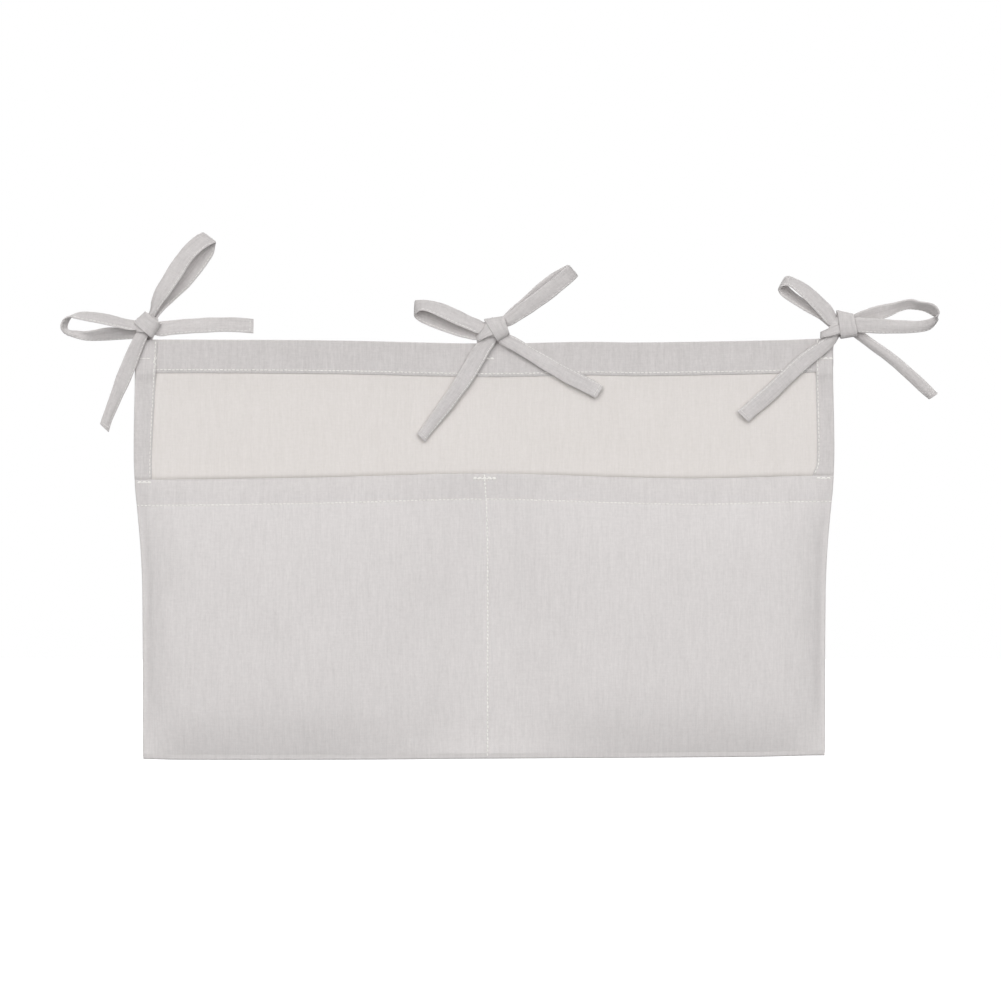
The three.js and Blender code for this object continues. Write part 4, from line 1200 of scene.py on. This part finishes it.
# Each limb has its knot, its heading in degrees, how far its bend is from the knot, which edge is stitched,
# and its stations. A station is both edges of the strap as they lie in the photograph, in its pixels, then
# how near the strap's middle is to the viewer, and the share of its hidden width that leans away from the
# viewer rather than gathers.
LIMBS = {
    "loop_left_upper": (LEFT_KNOT, 53.8, 10.6, -1, [
        (147, 318, 152, 323, 0.5, 0.2), (150.5, 309, 156, 314.5, 2.2, 0.2),
        (151.8, 301, 163, 304.8, 3.8, 0.3), (156, 290, 169.3, 297.3, 5, 0.5),
        (161.3, 281, 175.3, 288.8, 5.4, 1), (168, 270, 183, 277, 5.4, 1), (175, 259, 190, 266, 5.2, 1),
        (182, 250, 196.8, 257, 4.8, 1), (189, 242.5, 203.5, 250.5, 4, 1), (196, 236.5, 210, 246, 3.1, 1),
        (200.6, 233.9, 214, 243.9, 2.2, 1), (202.8, 232.6, 216, 242.6, 0, 1),
        (201, 235, 215.2, 246, -2.4, 0.6), (201, 241, 213.5, 254, -3.4, 0.4),
        (196.5, 251, 208, 262.5, -4.2, 0.4), (190.5, 261, 201.5, 271.5, -4.6, 0.4),
        (184, 270, 194, 281, -4.6, 0.4), (175.5, 279, 185.5, 290.3, -4.2, 0.4),
        (166.5, 289, 175.5, 299.5, -3.4, 0.4), (158.5, 300, 167, 307.5, -2.4, 0.3),
        (153.5, 310, 160.5, 315, -1.6, 0.2), (149, 320, 154, 324, -1, 0.2),
    ]),
    "loop_left_outer": (LEFT_KNOT, 180, 9.8, 1, [
        (142, 328.5, 142, 322.5, 0.5, -0.2), (136, 330, 134.5, 320, 1.6, -0.5),
        (128, 330, 127, 318.9, 2.4, -0.9), (119, 328, 118, 316.5, 2.8, -1),
        (108, 325.3, 107.3, 313.9, 2.8, -1), (97, 323, 96.5, 312.3, 2.4, -1),
        (86, 320.8, 86, 311.6, 1.8, -1), (78, 319, 78.4, 312.2, 1.2, -1),
        (71.5, 317.3, 72.4, 314.9, 0.6, -1), (66, 319.2, 69.2, 319.4, 0.2, -1),
        (62.8, 324.5, 66.9, 324.7, 0, -1), (63, 329.5, 67.2, 328.9, 0, -1),
        (66.4, 334, 70.6, 330.6, -0.3, -0.8), (73, 337.3, 77, 331, -0.8, -0.4),
        (82, 339.5, 85, 330.9, -1.4, 0.1), (92, 340.3, 94, 329.7, -2, 0.5),
        (103, 340, 104.5, 327.8, -2.4, 0.7), (114, 339.3, 114.5, 327.4, -2.6, 0.7),
        (125, 338.7, 125.3, 328.3, -2.4, 0.5), (134, 337.7, 134, 328.8, -1.8, 0.3),
        (142, 333.5, 142, 326.5, -0.8, 0.1),
    ]),
    "tail_left_inner": (LEFT_KNOT, 0.8, 9.9, -1, [
        (151, 323, 151, 333, -2.4, 0.2), (160.5, 321.1, 160.5, 336, -2.5, 0.3),
        (172, 319.7, 172, 334.8, -2.5, 0.5), (185, 318.6, 185, 333.7, -2.5, 0.5),
        (200, 317.7, 200, 332.7, -2.5, 0.5), (215, 317, 215, 332, -2.5, 0.5),
        (230, 316.9, 230, 331.7, -2.5, 0.5), (243, 317.5, 243, 332.3, -2.5, 0.5),
        (253, 318.5, 253, 333.1, -2.5, 0.5),
    ]),
    "tail_left_lower": (LEFT_KNOT, -112.4, 11.3, 1, [
        (151, 330, 142, 326, 0.3, 0.08), (147.5, 338.3, 136.3, 333.6, 0.8, 0.12),
        (143.3, 348.6, 131, 343.6, 1, 0.4), (139, 360, 126, 354.5, 1, 0.4),
        (134.4, 372, 121, 366.4, 0.8, 0.4),
        (128.8, 385.3, 116, 379, 0.6, 0.3), (122.3, 398.8, 111, 393.6, 0.4, 0.2),
        (116.5, 411.5, 106.2, 407.5, 0.2, 0.15), (112.3, 421, 102.8, 417, 0, 0.15),
        (109, 431.6, 100.7, 423.4, 0, 0.15),
    ]),
    "loop_centre_upper": (CENTRE_KNOT, 35.4, 11.4, -1, [
        (498, 321, 501, 328, 0.5, -0.14), (504, 315.8, 510.5, 325.6, 1.8, -0.14),
        (511.5, 309.6, 520, 320.3, 2.7, -0.21), (520.5, 302.9, 530, 314, 3.3, -0.35),
        (529.5, 296.3, 539, 307.8, 3.6, -0.7), (537.5, 290.3, 547.8, 301.6, 3.6, -0.7),
        (545.5, 283.9, 556, 295.4, 3.5, -0.7), (553, 277.7, 563.8, 289, 3.2, -0.7),
        (559.5, 272.3, 570.5, 283.1, 2.7, -0.7), (564.6, 267.9, 575.2, 278.6, 1.9, -1),
        (567.2, 265.2, 577.3, 276.2, 0, -1), (564, 266.3, 574.6, 277.9, -1.9, -1),
        (557.8, 269.5, 568.5, 281.3, -2.6, -1), (550, 273.9, 560.5, 286, -3.1, -1),
        (542.8, 279.1, 553, 291.4, -3.4, -1), (534.8, 286, 544.5, 298, -3.4, -1),
        (526.5, 293.8, 535.5, 305.3, -3.2, -0.8), (517.5, 301.9, 526, 313, -2.8, -0.5),
        (508.5, 309.4, 515.5, 319.5, -2.2, -0.3), (500, 318.5, 504, 325.5, -1.2, -0.2),
    ]),
    "loop_centre_outer": (CENTRE_KNOT, 165.6, 11.6, 1, [
        (485, 332.5, 486.5, 324.5, 0.6, -0.2), (477, 333.2, 479.5, 320, 2, -0.4),
        (468, 330.2, 471, 316.4, 3, -0.6), (459, 326.5, 462.5, 312.2, 3.6, -1),
        (450, 322.3, 454, 308.3, 4, -1), (441, 318.2, 444.8, 304.3, 4, -1),
        (432.5, 314.1, 435, 301.7, 3.8, -1), (425.5, 311.5, 427, 300.1, 3.4, -1),
        (419.8, 311.3, 420.8, 299.6, 2.8, -1), (416.5, 313.7, 416.9, 299.8, 2, -1),
        (414.6, 316.4, 415, 300.4, 0, -1), (415.8, 318.7, 416.6, 303.2, -2, -1),
        (420, 321.8, 421.5, 306.6, -2.8, -1), (428, 325.5, 430, 310.5, -3.5, -1),
        (437, 329, 440, 315, -3.9, -1), (446.5, 332.6, 449.5, 319, -4, -1),
        (456, 335.8, 459, 322.7, -3.8, -0.8), (466, 338.3, 468.5, 326.5, -3.2, -0.5),
        (476.5, 340, 478, 330, -2.2, -0.3), (486, 336.5, 487, 329.5, -1, -0.2),
    ]),
    "tail_centre_left": (CENTRE_KNOT, -123.3, 10.5, 1, [
        (497.5, 335.5, 487.5, 329.5, 0.2, 0.1), (494.5, 343, 481.5, 336, 0.3, 0.1),
        (489.6, 351.3, 475, 344.3, 0, 0.1), (483.5, 362, 469, 353.7, -0.4, 0.1),
        (477, 373, 462.7, 364.7, -0.8, 0.1), (469.5, 384.4, 455.6, 376.6, -1.1, 0.1),
        (461, 395.8, 447.6, 389.4, -1.3, 0.1), (452, 407.8, 439.6, 401, -1.5, 0.1),
        (442.5, 419.4, 431.2, 413, -1.7, 0.12), (433.2, 430.5, 423.5, 424.3, -1.9, 0.12),
        (424.6, 441.4, 417, 433, -2, 0.12),
    ]),
    "tail_centre_right": (CENTRE_KNOT, -30.2, 10.5, 1, [
        (499, 328, 495, 337.5, -0.4, 0.12), (507, 333.4, 501, 344.3, -0.4, 0.12),
        (515.5, 337, 508.8, 348.8, -0.6, 0.18), (526, 343.3, 519.5, 354.9, -0.9, 0.24),
        (538, 350.5, 531, 362.1, -1.2, 0.24), (550, 357, 543, 369.8, -1.4, 0.24),
        (562, 363.8, 555, 377, -1.6, 0.24), (574, 370, 567, 383.9, -1.8, 0.24),
        (586, 376.1, 579, 389.7, -1.9, 0.24), (596, 381.5, 588.8, 394.6, -2, 0.24),
        (602.4, 385.8, 594.6, 398, -2, 0.24),
    ]),
    "loop_right_upper": (RIGHT_KNOT, 145.6, 11.4, 1, [
        (832, 328, 838.5, 321, 0.6, -0.2), (824.5, 323, 834, 313.5, 2, -0.3),
        (818.7, 317.2, 829.3, 305.5, 3, -0.5), (812.5, 310.5, 823.3, 299.8, 3.6, -1),
        (806, 303.5, 817, 293.8, 4, -1), (799.5, 297, 810.3, 287.9, 4.1, -1), (793, 291, 803, 283, 3.9, -1),
        (787.7, 287.2, 795.7, 279.1, 3.5, -1), (783.3, 286.3, 790.8, 276.9, 2.9, -1),
        (779.6, 287.2, 787.4, 275.8, 2, -1), (777, 290, 784.6, 276.9, 0, -1),
        (778.3, 293.4, 784.5, 280.5, -2, -1), (782.6, 297.6, 788, 286, -2.9, -1),
        (789.3, 302.1, 794.5, 291.8, -3.5, -1), (797, 306.8, 802, 297.2, -3.8, -1),
        (805, 311.7, 810, 302.3, -3.8, -1), (813, 316.3, 818.5, 307.3, -3.4, -0.8),
        (819.3, 320.2, 825.5, 312, -2.6, -0.5), (825.5, 325.5, 832, 318.5, -1.6, -0.3),
        (832, 331, 837, 325.5, -0.8, -0.2),
    ]),
    "loop_right_outer": (RIGHT_KNOT, 7.9, 14.1, -1, [
        (846, 321, 846, 330, 1.6, -0.2), (854.5, 317.8, 855, 332.6, 2.6, -0.2),
        (864, 318.1, 864.5, 333.2, 3.4, -0.2), (875, 318.8, 875.5, 333.7, 4, -0.2),
        (886, 319.7, 886.5, 333.8, 4.3, -0.2), (897, 320.6, 897.5, 333.6, 4.3, -0.2),
        (908, 321, 909, 333.2, 4, -0.2), (917.5, 320.9, 919.5, 332.3, 3.4, -0.2),
        (925.3, 319.9, 928.6, 329.7, 2.6, -0.5), (930.5, 318.4, 934.6, 324, 1.8, -0.5),
        (933.3, 316.8, 937, 318, 1, -1), (936.9, 313.4, 932.9, 315.6, 0.2, -1),
        (935.3, 308.3, 929.5, 313.6, -0.6, -1), (931, 304.4, 924.5, 311, -1.2, -1),
        (924.5, 302.4, 918.5, 309.4, -1.8, -0.9), (918, 301.2, 912.5, 308.8, -2.2, -0.8),
        (910.5, 298.9, 906.5, 308.8, -2.6, -0.65), (901.5, 300.2, 899, 310.8, -3, -0.6),
        (891.5, 302.5, 890.5, 315.2, -3.2, -0.6), (881, 304.5, 881.5, 318.8, -3.2, -0.6),
        (870.5, 307, 872, 321, -3, -0.6), (861, 310.3, 864, 323, -2.6, -0.5), (853, 314, 857, 325, -2, -0.3),
        (846, 319, 848, 327, -1, -0.2),
    ]),
    "tail_right_outer": (RIGHT_KNOT, -35.9, 14.3, 1, [
        (851, 326, 846, 332, -2.6, -0.17), (862, 332, 854.5, 338, -3, -0.33),
        (870, 337.6, 863, 344.4, -3.2, -0.3), (879, 343.8, 872.4, 351.4, -3.2, -0.3),
        (890, 351.4, 882.7, 358.9, -3.2, -0.3), (900, 359.4, 891.8, 366.2, -3.2, -0.3),
        (909, 366.9, 900.8, 374.6, -3.2, -0.3), (918, 375, 909.8, 382.6, -3.2, -0.3),
        (927, 383.4, 918.8, 391.2, -3.2, -0.3), (936.3, 393.2, 928, 398.8, -3.2, -0.3),
    ]),
    "tail_right_inner": (RIGHT_KNOT, -136.9, 11.1, -1, [
        (839.5, 333, 833, 326.5, 0.6, 0.12), (835, 342, 828, 334.6, 0.7, 0.18),
        (829, 349.2, 819.7, 340.3, 0.5, 0.14), (820, 356.7, 810, 346.5, 0.1, 0.14),
        (810.5, 364.4, 800.2, 353.4, -0.4, 0.14), (799.7, 374, 789.4, 362.8, -0.9, 0.14),
        (789.5, 383.6, 779, 372.5, -1.3, 0.14), (779.4, 393.6, 768.8, 382.2, -1.6, 0.14),
        (769.4, 403, 758.6, 391.4, -1.8, 0.14), (758.6, 411.9, 747.6, 401, -2, 0.14),
        (747.8, 421.7, 736.5, 411, -2.1, 0.14),
    ]),
}


def plane_direction(degrees):
    angle = math.radians(degrees)
    return np.array([math.cos(angle), 0, math.sin(angle)])


def on_photo(x, y):
    """Place across and up, in millimetres, of a point of the photograph in its pixels."""
    return (x - PHOTO_ORIGIN_X) * PHOTO_PIXEL, (PHOTO_ORIGIN_Z - y) * PHOTO_PIXEL


def limb_frames(stations):
    """Frames of a strap from its two edges. Where it looks narrow it leans, gathers, or does some of both."""
    middles, halves = [], []
    for one_x, one_y, two_x, two_y, near, lean in stations:
        one, two = np.array(on_photo(one_x, one_y)), np.array(on_photo(two_x, two_y))
        middle, half = (one + two) / 2, (one - two) / 2
        hidden = math.sqrt(max(0.0, (STRAP_WIDTH / 2) ** 2 - float(half @ half)))
        middles.append((middle[0], KNOT_LEVEL - near, middle[1]))
        halves.append((half[0], lean * hidden, half[1]))
    return strap_frames(middles, halves)


def knot_name(knot):
    return {LEFT_KNOT: "knot_left", CENTRE_KNOT: "knot_centre", RIGHT_KNOT: "knot_right"}[knot]


def build_limb(name):
    """A loop or a tail of a bow, with its edge stitches."""
    knot, heading, root_distance, stitched, stations = LIMBS[name]
    kind, place, word = name.split("_")
    frames = limb_frames(stations)
    tail = kind == "tail"
    strap, surface = strap_mesh(name + "_strap", frames, stitched, END_FOLD if tail else 0)
    finish_piece(strap, [STRAP], body=None, nodes=(name,))
    along = plane_direction(heading)
    root = np.array(knot) + along * root_distance
    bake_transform(strap)
    knot_name(knot)
    stitches = strap_stitches(name + "_stitches", frames, surface, tail)
    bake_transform(stitches)


def strap_stitches(name, frames, surface, tail):
    """Stitches near one edge of a strap on both faces, and across the folded end of a tail."""
    ahead, travel = frames[2], frames[4]
    places = []
    last = travel[-1] - (TAIL_STITCH_END if tail else FIRST_STRAP_STITCH)
    for here, there in ((FRONT_GROOVE, BACK_GROOVE), (BACK_GROOVE, FRONT_GROOVE)):
        for at in np.arange(FIRST_STRAP_STITCH, last, STITCH_PITCH):
            point, other, forward = (
                np.array([np.interp(at, travel, line[:, k]) for k in range(3)])
                for line in (surface[:, here], surface[:, there], ahead)
            )
            up = unit(point - other)
            places.append((point + up * STRAP_STITCH_LIFT, forward, up))
    if tail:
        places += end_stitches(surface[int(np.searchsorted(travel, travel[-1] - END_STITCH_INSET))])
    return stitch_row(name, places, radius=STRAP_STITCH_RADIUS, thread=STRAP_THREAD, body=None)


def end_stitches(ring):
    """Stitches across a strap at one ring of its surface, on both faces."""
    places = []
    half = len(ring) // 2
    for columns in (range(FRONT_GROOVE, half - 2), range(half + 3, BACK_GROOVE + 1)):
        line = ring[list(columns)]
        opposite = ring[[len(ring) - column for column in columns]]
        length = travelled(line)
        along = unit(line[-1] - line[0])
        up = unit(line.mean(axis=0) - opposite.mean(axis=0))
        start, end = END_STITCH_MARGINS
        for at in np.arange(start, length[-1] - end, STITCH_PITCH):
            point = np.array([np.interp(at, length, line[:, k]) for k in range(3)])
            places.append((point + up * END_STITCH_LIFT, along, up))
    return places


# Knots

# Corners of each wrap that shows on a knot, as x and z from the knot's centre: where it turns in at its
# start (two corners) and at its end (two corners), then its depth in front of and behind the centre.
LEFT_WRAPS = [
    (((-9.6, 1.4), (-0.9, 9.4)), ((3.1, -9.6), (9.4, 1.0)), 5.6, 5.2),
    (((-7.5, -5.2), (-8.4, 3.5)), ((4.6, -6.4), (6.2, 5.2)), 4.4, 4.2),
]
CENTRE_WRAPS = [
    (((-7.2, 6.8), (6.8, 9.0)), ((2.2, -8.6), (11.2, -3.2)), 5.8, 5.2),
    (((-12.0, -4.6), (-11.8, -9.2)), ((-1.5, 8.6), (6.8, -0.8)), 4.7, 4.4),
]
RIGHT_WRAPS = [
    (((-3.8, 10.5), (8.2, 7.8)), ((-0.9, -9.2), (11.0, -7.2)), 5.8, 5.2),
    (((-14.6, -4.4), (-14.9, -9.4)), ((3.0, 3.8), (4.0, -5.6)), 4.6, 4.4),
]

# Each knot: its centre, its wraps, and how far its core reaches across and up
KNOTS = {
    "left": (LEFT_KNOT, LEFT_WRAPS, (8.6, 6.8)),
    "centre": (CENTRE_KNOT, CENTRE_WRAPS, (9.2, 6.8)),
    "right": (RIGHT_KNOT, RIGHT_WRAPS, (9.5, 6.4)),
}
WRAP_COLUMNS = 15
WRAP_STEPS = 56
WRAP_THICKNESS = 0.8 * STRAP_THICKNESS
WRAP_INSET = 0.5
WRAP_ROUNDNESS = 0.85
WRAP_DEPTH_ROUNDNESS = 0.7
WRAP_CREASE = 0.132
WRAP_CURL = 0.18
CORE_RINGS = 20
CORE_SEGMENTS = 36
CORE_DEPTH = 4.2
CORE_ROUNDNESS = 0.8
CORE_TIP = 0.02
# Creases of the core: depth as a share, then turns of the wave round it and along it
CORE_CREASES = ((0.07, 4, 3), (0.05, 7, -2))
KNOT_WEAVE = (8, 9)


def power(value, exponent):
    """A power that keeps its sign, which makes a turn squarer."""
    return math.copysign(abs(value) ** exponent, value)


def wrap_mesh(name, knot, wrap):
    """One turn of strap round a knot, through the corners where it shows."""
    (start_a, start_b), (end_a, end_b), front, back = (np.array(part, float) for part in wrap)
    turns = np.linspace(0, math.tau, WRAP_STEPS, endpoint=False)
    mid = np.zeros((WRAP_STEPS, WRAP_COLUMNS, 3))
    weave = np.zeros((WRAP_STEPS, WRAP_COLUMNS, 2))
    for j, s in enumerate(np.linspace(0, 1, WRAP_COLUMNS)):
        start, end = mix(start_a, start_b, s), mix(end_a, end_b, s)
        centre, half = (start + end) / 2, (start - end) / 2
        for i, turn in enumerate(turns):
            flat = power(math.cos(turn), WRAP_ROUNDNESS)
            deep = power(math.sin(turn), WRAP_DEPTH_ROUNDNESS)
            depth = front if deep > 0 else back
            crease = WRAP_CREASE * math.sin(3.1 * turn + 5 * s) * (0.5 + s) + WRAP_CURL * (s - 0.5) ** 2
            x, z = centre + half * flat
            mid[i, j] = (x, -deep * (depth - WRAP_INSET + crease), z)
            weave[i, j] = ((s - 0.5) * STRAP_WIDTH, turn * KNOT_WEAVE[1])
    mid += np.array(knot)
    thing = cloth_mesh(name, mid, weave, WRAP_THICKNESS, ring=True)
    turn_outwards(thing)
    return thing


def core_mesh(name, knot, size):
    """The gathered straps inside a knot, as one lumpy bundle with creases."""
    points, weave, faces = [], [], []
    for i in range(CORE_RINGS + 1):
        rise = math.pi * i / CORE_RINGS
        ring = math.sin(rise) ** CORE_ROUNDNESS if 0 < i < CORE_RINGS else CORE_TIP
        for k in range(CORE_SEGMENTS):
            turn = math.tau * k / CORE_SEGMENTS
            crease = 1 + sum(
                depth * math.sin(around * turn + along * rise) for depth, around, along in CORE_CREASES
            )
            x = size[0] * ring * math.cos(turn) * crease
            z = size[1] * ring * math.sin(turn) * crease
            points.append((knot[0] + x, knot[1] + CORE_DEPTH * math.cos(rise), knot[2] + z))
            weave.append((turn * KNOT_WEAVE[0], rise * KNOT_WEAVE[1]))
    for first in range(0, CORE_RINGS * CORE_SEGMENTS, CORE_SEGMENTS):
        for k in range(CORE_SEGMENTS):
            a, b = first + k, first + (k + 1) % CORE_SEGMENTS
            faces.append((a, b, b + CORE_SEGMENTS, a + CORE_SEGMENTS))
    faces.append(tuple(reversed(range(CORE_SEGMENTS))))
    faces.append(tuple(CORE_RINGS * CORE_SEGMENTS + k for k in range(CORE_SEGMENTS)))
    thing = make_mesh(name, points, faces, weave)
    turn_outwards(thing)
    return thing


def build_knot(word):
    knot, wraps, size = KNOTS[word]
    pieces = [core_mesh(f"knot_{word}_core", knot, size)]
    pieces += [wrap_mesh(f"knot_{word}_wrap_{k}", knot, wrap) for k, wrap in enumerate(wraps, 1)]
    for piece in pieces:
        finish_piece(piece, [STRAP], nodes=(f"knot_{word}",))


# Strap ends sewn behind the hem

TIE_PLACES = {"left": 5.5 - HALF_WIDTH, "centre": 2, "right": HALF_WIDTH - 5.2}
# How far a strap has moved over towards its knot, as shares: below the top edge, at it and above it
TIE_CROSSINGS = {"left": (0, 0.12, 0.5), "centre": (0.3, 0.75, 0.95), "right": (0, 0.12, 0.5)}
TIE_STITCH_RADII = {"left": 0.15, "centre": STITCH_RADIUS, "right": STITCH_RADIUS}
TIE_TACK_DROP = 12.5
TIE_TACK_LENGTH = 11
TIE_BELOW_TACK = 5.5
TIE_GAP = LAYER_GAP + 0.1
KNOT_ENTRY = 2.9


def tie_frames(word, layer):
    """Frames of one layer of a tie, from behind the hem over the top edge into its knot."""
    knot = KNOTS[word][0]
    low, middle, high = TIE_CROSSINGS[word]
    level = TIE_GAP + (layer + 0.5) * STRAP_THICKNESS
    # How far over towards the knot, depth, height, and width as a share of the strap's
    route = [
        (0, level, -TIE_TACK_DROP - TIE_BELOW_TACK, 0.98),
        (0, level, -TIE_TACK_DROP, 0.97),
        (low, level, -6, 0.99),
        (middle, level, 0.2, 0.98),
        (high, level - 1.2, 3.6, 0.95),
        (1, KNOT_LEVEL + KNOT_ENTRY, knot[2] - 2.2, 0.85),
        (1, KNOT_LEVEL + 0.5, knot[2] + 1, 0.6),
    ]
    middles = [(mix(TIE_PLACES[word], knot[0], shift), y, z) for shift, y, z, _ in route]
    return strap_frames(middles, [(share * STRAP_WIDTH / 2, 0, 0) for *_, share in route])


def build_tie(word):
    """The folded middle of a tie, in two layers, and the bar of stitches that holds it."""
    for layer, layer_word in enumerate(("near", "far")):
        frames = tie_frames(word, layer)
        strap, _ = strap_mesh(f"tie_strap_{word}_{layer_word}", frames)
        finish_piece(strap, [STRAP], nodes=(f"strap_anchor_{word}",))
    x, half = TIE_PLACES[word], TIE_TACK_LENGTH / 2
    start, end = (x - half, -TIE_TACK_DROP), (x + half, -TIE_TACK_DROP)
    front = top_hem_front if word == "centre" else side_hem_front
    rear = TIE_GAP + 2 * STRAP_THICKNESS
    build_bar(
        f"tie_tack_stitches_{word}", f"tie_tack_{word}", start, end, front,
        rear=lambda x, z: rear, radius=TIE_STITCH_RADII[word],
    )


# Light, camera and backdrop

LENS = 120
SENSOR = 36
FAR_CLIP = 50
FLOOR_DROP = 800
FLOOR_REACH = 12
FLOOR_WHITE = 0.8
FLOOR_GLOW = 0.42
FLOOR_BOUNCE = 0.3
AMBIENT = 0.22
# Suns: which way their light goes, their spread in degrees, and their share of a plain white
SUNS = {
    "key": ((0.02, 1, -0.2), 84, 1.08),
    "rear": ((-0.3, -1, -0.6), 50, 0.73),
}


def build_camera():
    middle = (PHOTO_SIDE - 1) / 2
    x, z = on_photo(middle, middle)
    distance = PHOTO_SIDE * PHOTO_PIXEL * LENS / SENSOR
    data = bpy.data.cameras.new("camera")
    data.lens = LENS
    data.sensor_width = SENSOR
    data.clip_end = FAR_CLIP
    camera = bpy.data.objects.new("camera", data)
    camera.location = (x * MM, -distance * MM, z * MM)
    camera.rotation_euler = (math.radians(90), 0, 0)
    bpy.context.scene.collection.objects.link(camera)
    bpy.context.scene.camera = camera


def seen_directly(tree):
    """One where a camera, mirror or glass ray looks, and zero for the light on the object."""
    path = tree.nodes.new("ShaderNodeLightPath")
    seen = path.outputs["Is Camera Ray"]
    for name in ("Is Glossy Ray", "Is Transmission Ray"):
        seen = maths(tree, "MAXIMUM", seen, path.outputs[name])
    return seen


def build_world():
    world = bpy.data.worlds.new("soft_white")
    world.use_nodes = True
    tree = world.node_tree
    sky = tree.nodes["Background"]
    sky.inputs["Color"].default_value = (1, 1, 1, 1)
    tree.links.new(ranged(tree, seen_directly(tree), AMBIENT, 1.0), sky.inputs["Strength"])
    bpy.context.scene.world = world


def floor_material():
    pale = bpy.data.materials.new("pale_floor")
    pale.use_nodes = True
    tree = pale.node_tree
    shader = tree.nodes["Principled BSDF"]
    shader.inputs["Roughness"].default_value = 0.95
    shader.inputs["Specular IOR Level"].default_value = 0.0
    shader.inputs["Emission Color"].default_value = (1, 1, 1, 1)
    seen = seen_directly(tree)
    tree.links.new(maths(tree, "MULTIPLY", seen, FLOOR_GLOW), shader.inputs["Emission Strength"])
    tree.links.new(ranged(tree, seen, FLOOR_BOUNCE, FLOOR_WHITE), shader.inputs["Base Color"])
    return pale


def build_floor():
    data = bpy.data.meshes.new("floor")
    reach, height = FLOOR_REACH, -FLOOR_DROP * MM
    corners = [(-reach, -reach), (reach, -reach), (reach, reach), (-reach, reach)]
    data.from_pydata([(x, y, height) for x, y in corners], [], [(0, 1, 2, 3)])
    floor = bpy.data.objects.new("floor", data)
    bpy.context.scene.collection.objects.link(floor)
    data.materials.append(floor_material())


def add_soft_sun(name, toward, spread, share):
    """Soft light along a direction from a disc spread degrees wide.

    share is the part of a plain white that it gives an upright face, where the floor hides none of the disc.
    """
    toward = unit(np.array(toward, float))
    data = bpy.data.lights.new(name, "SUN")
    data.angle = math.radians(spread)
    data.energy = share * math.pi / abs(toward[1])
    lamp = bpy.data.objects.new(name, data)
    yaw = math.atan2(toward[0], -toward[1])
    lamp.rotation_euler = (math.acos(-toward[2]), 0, math.pi + yaw)
    bpy.context.scene.collection.objects.link(lamp)


SIDES = (("left", -1), ("right", 1))

build_panel_cloth()
for side_word, side_sign in SIDES:
    build_side_turn(side_word, side_sign)
for side_word, side_sign in SIDES:
    for part_word in ("outer", "inner"):
        build_pocket_half(side_word, side_sign, part_word)
        build_pocket_stitches(side_word, side_sign, part_word)
build_hem_stitches()
for side_word, side_sign in SIDES:
    build_side_stitches(side_word, side_sign)
    build_corner_tack(side_word, side_sign)
build_centre_seam()
for knot_word in KNOTS:
    build_knot(knot_word)
    build_tie(knot_word)
for limb_name in LIMBS:
    build_limb(limb_name)
build_camera()
build_world()
build_floor()
for sun_name, (sun_toward, sun_spread, sun_share) in SUNS.items():
    add_soft_sun(sun_name, sun_toward, sun_spread, sun_share)
bpy.context.scene.view_settings.view_transform = "Standard"

bpy.context.view_layer.update()
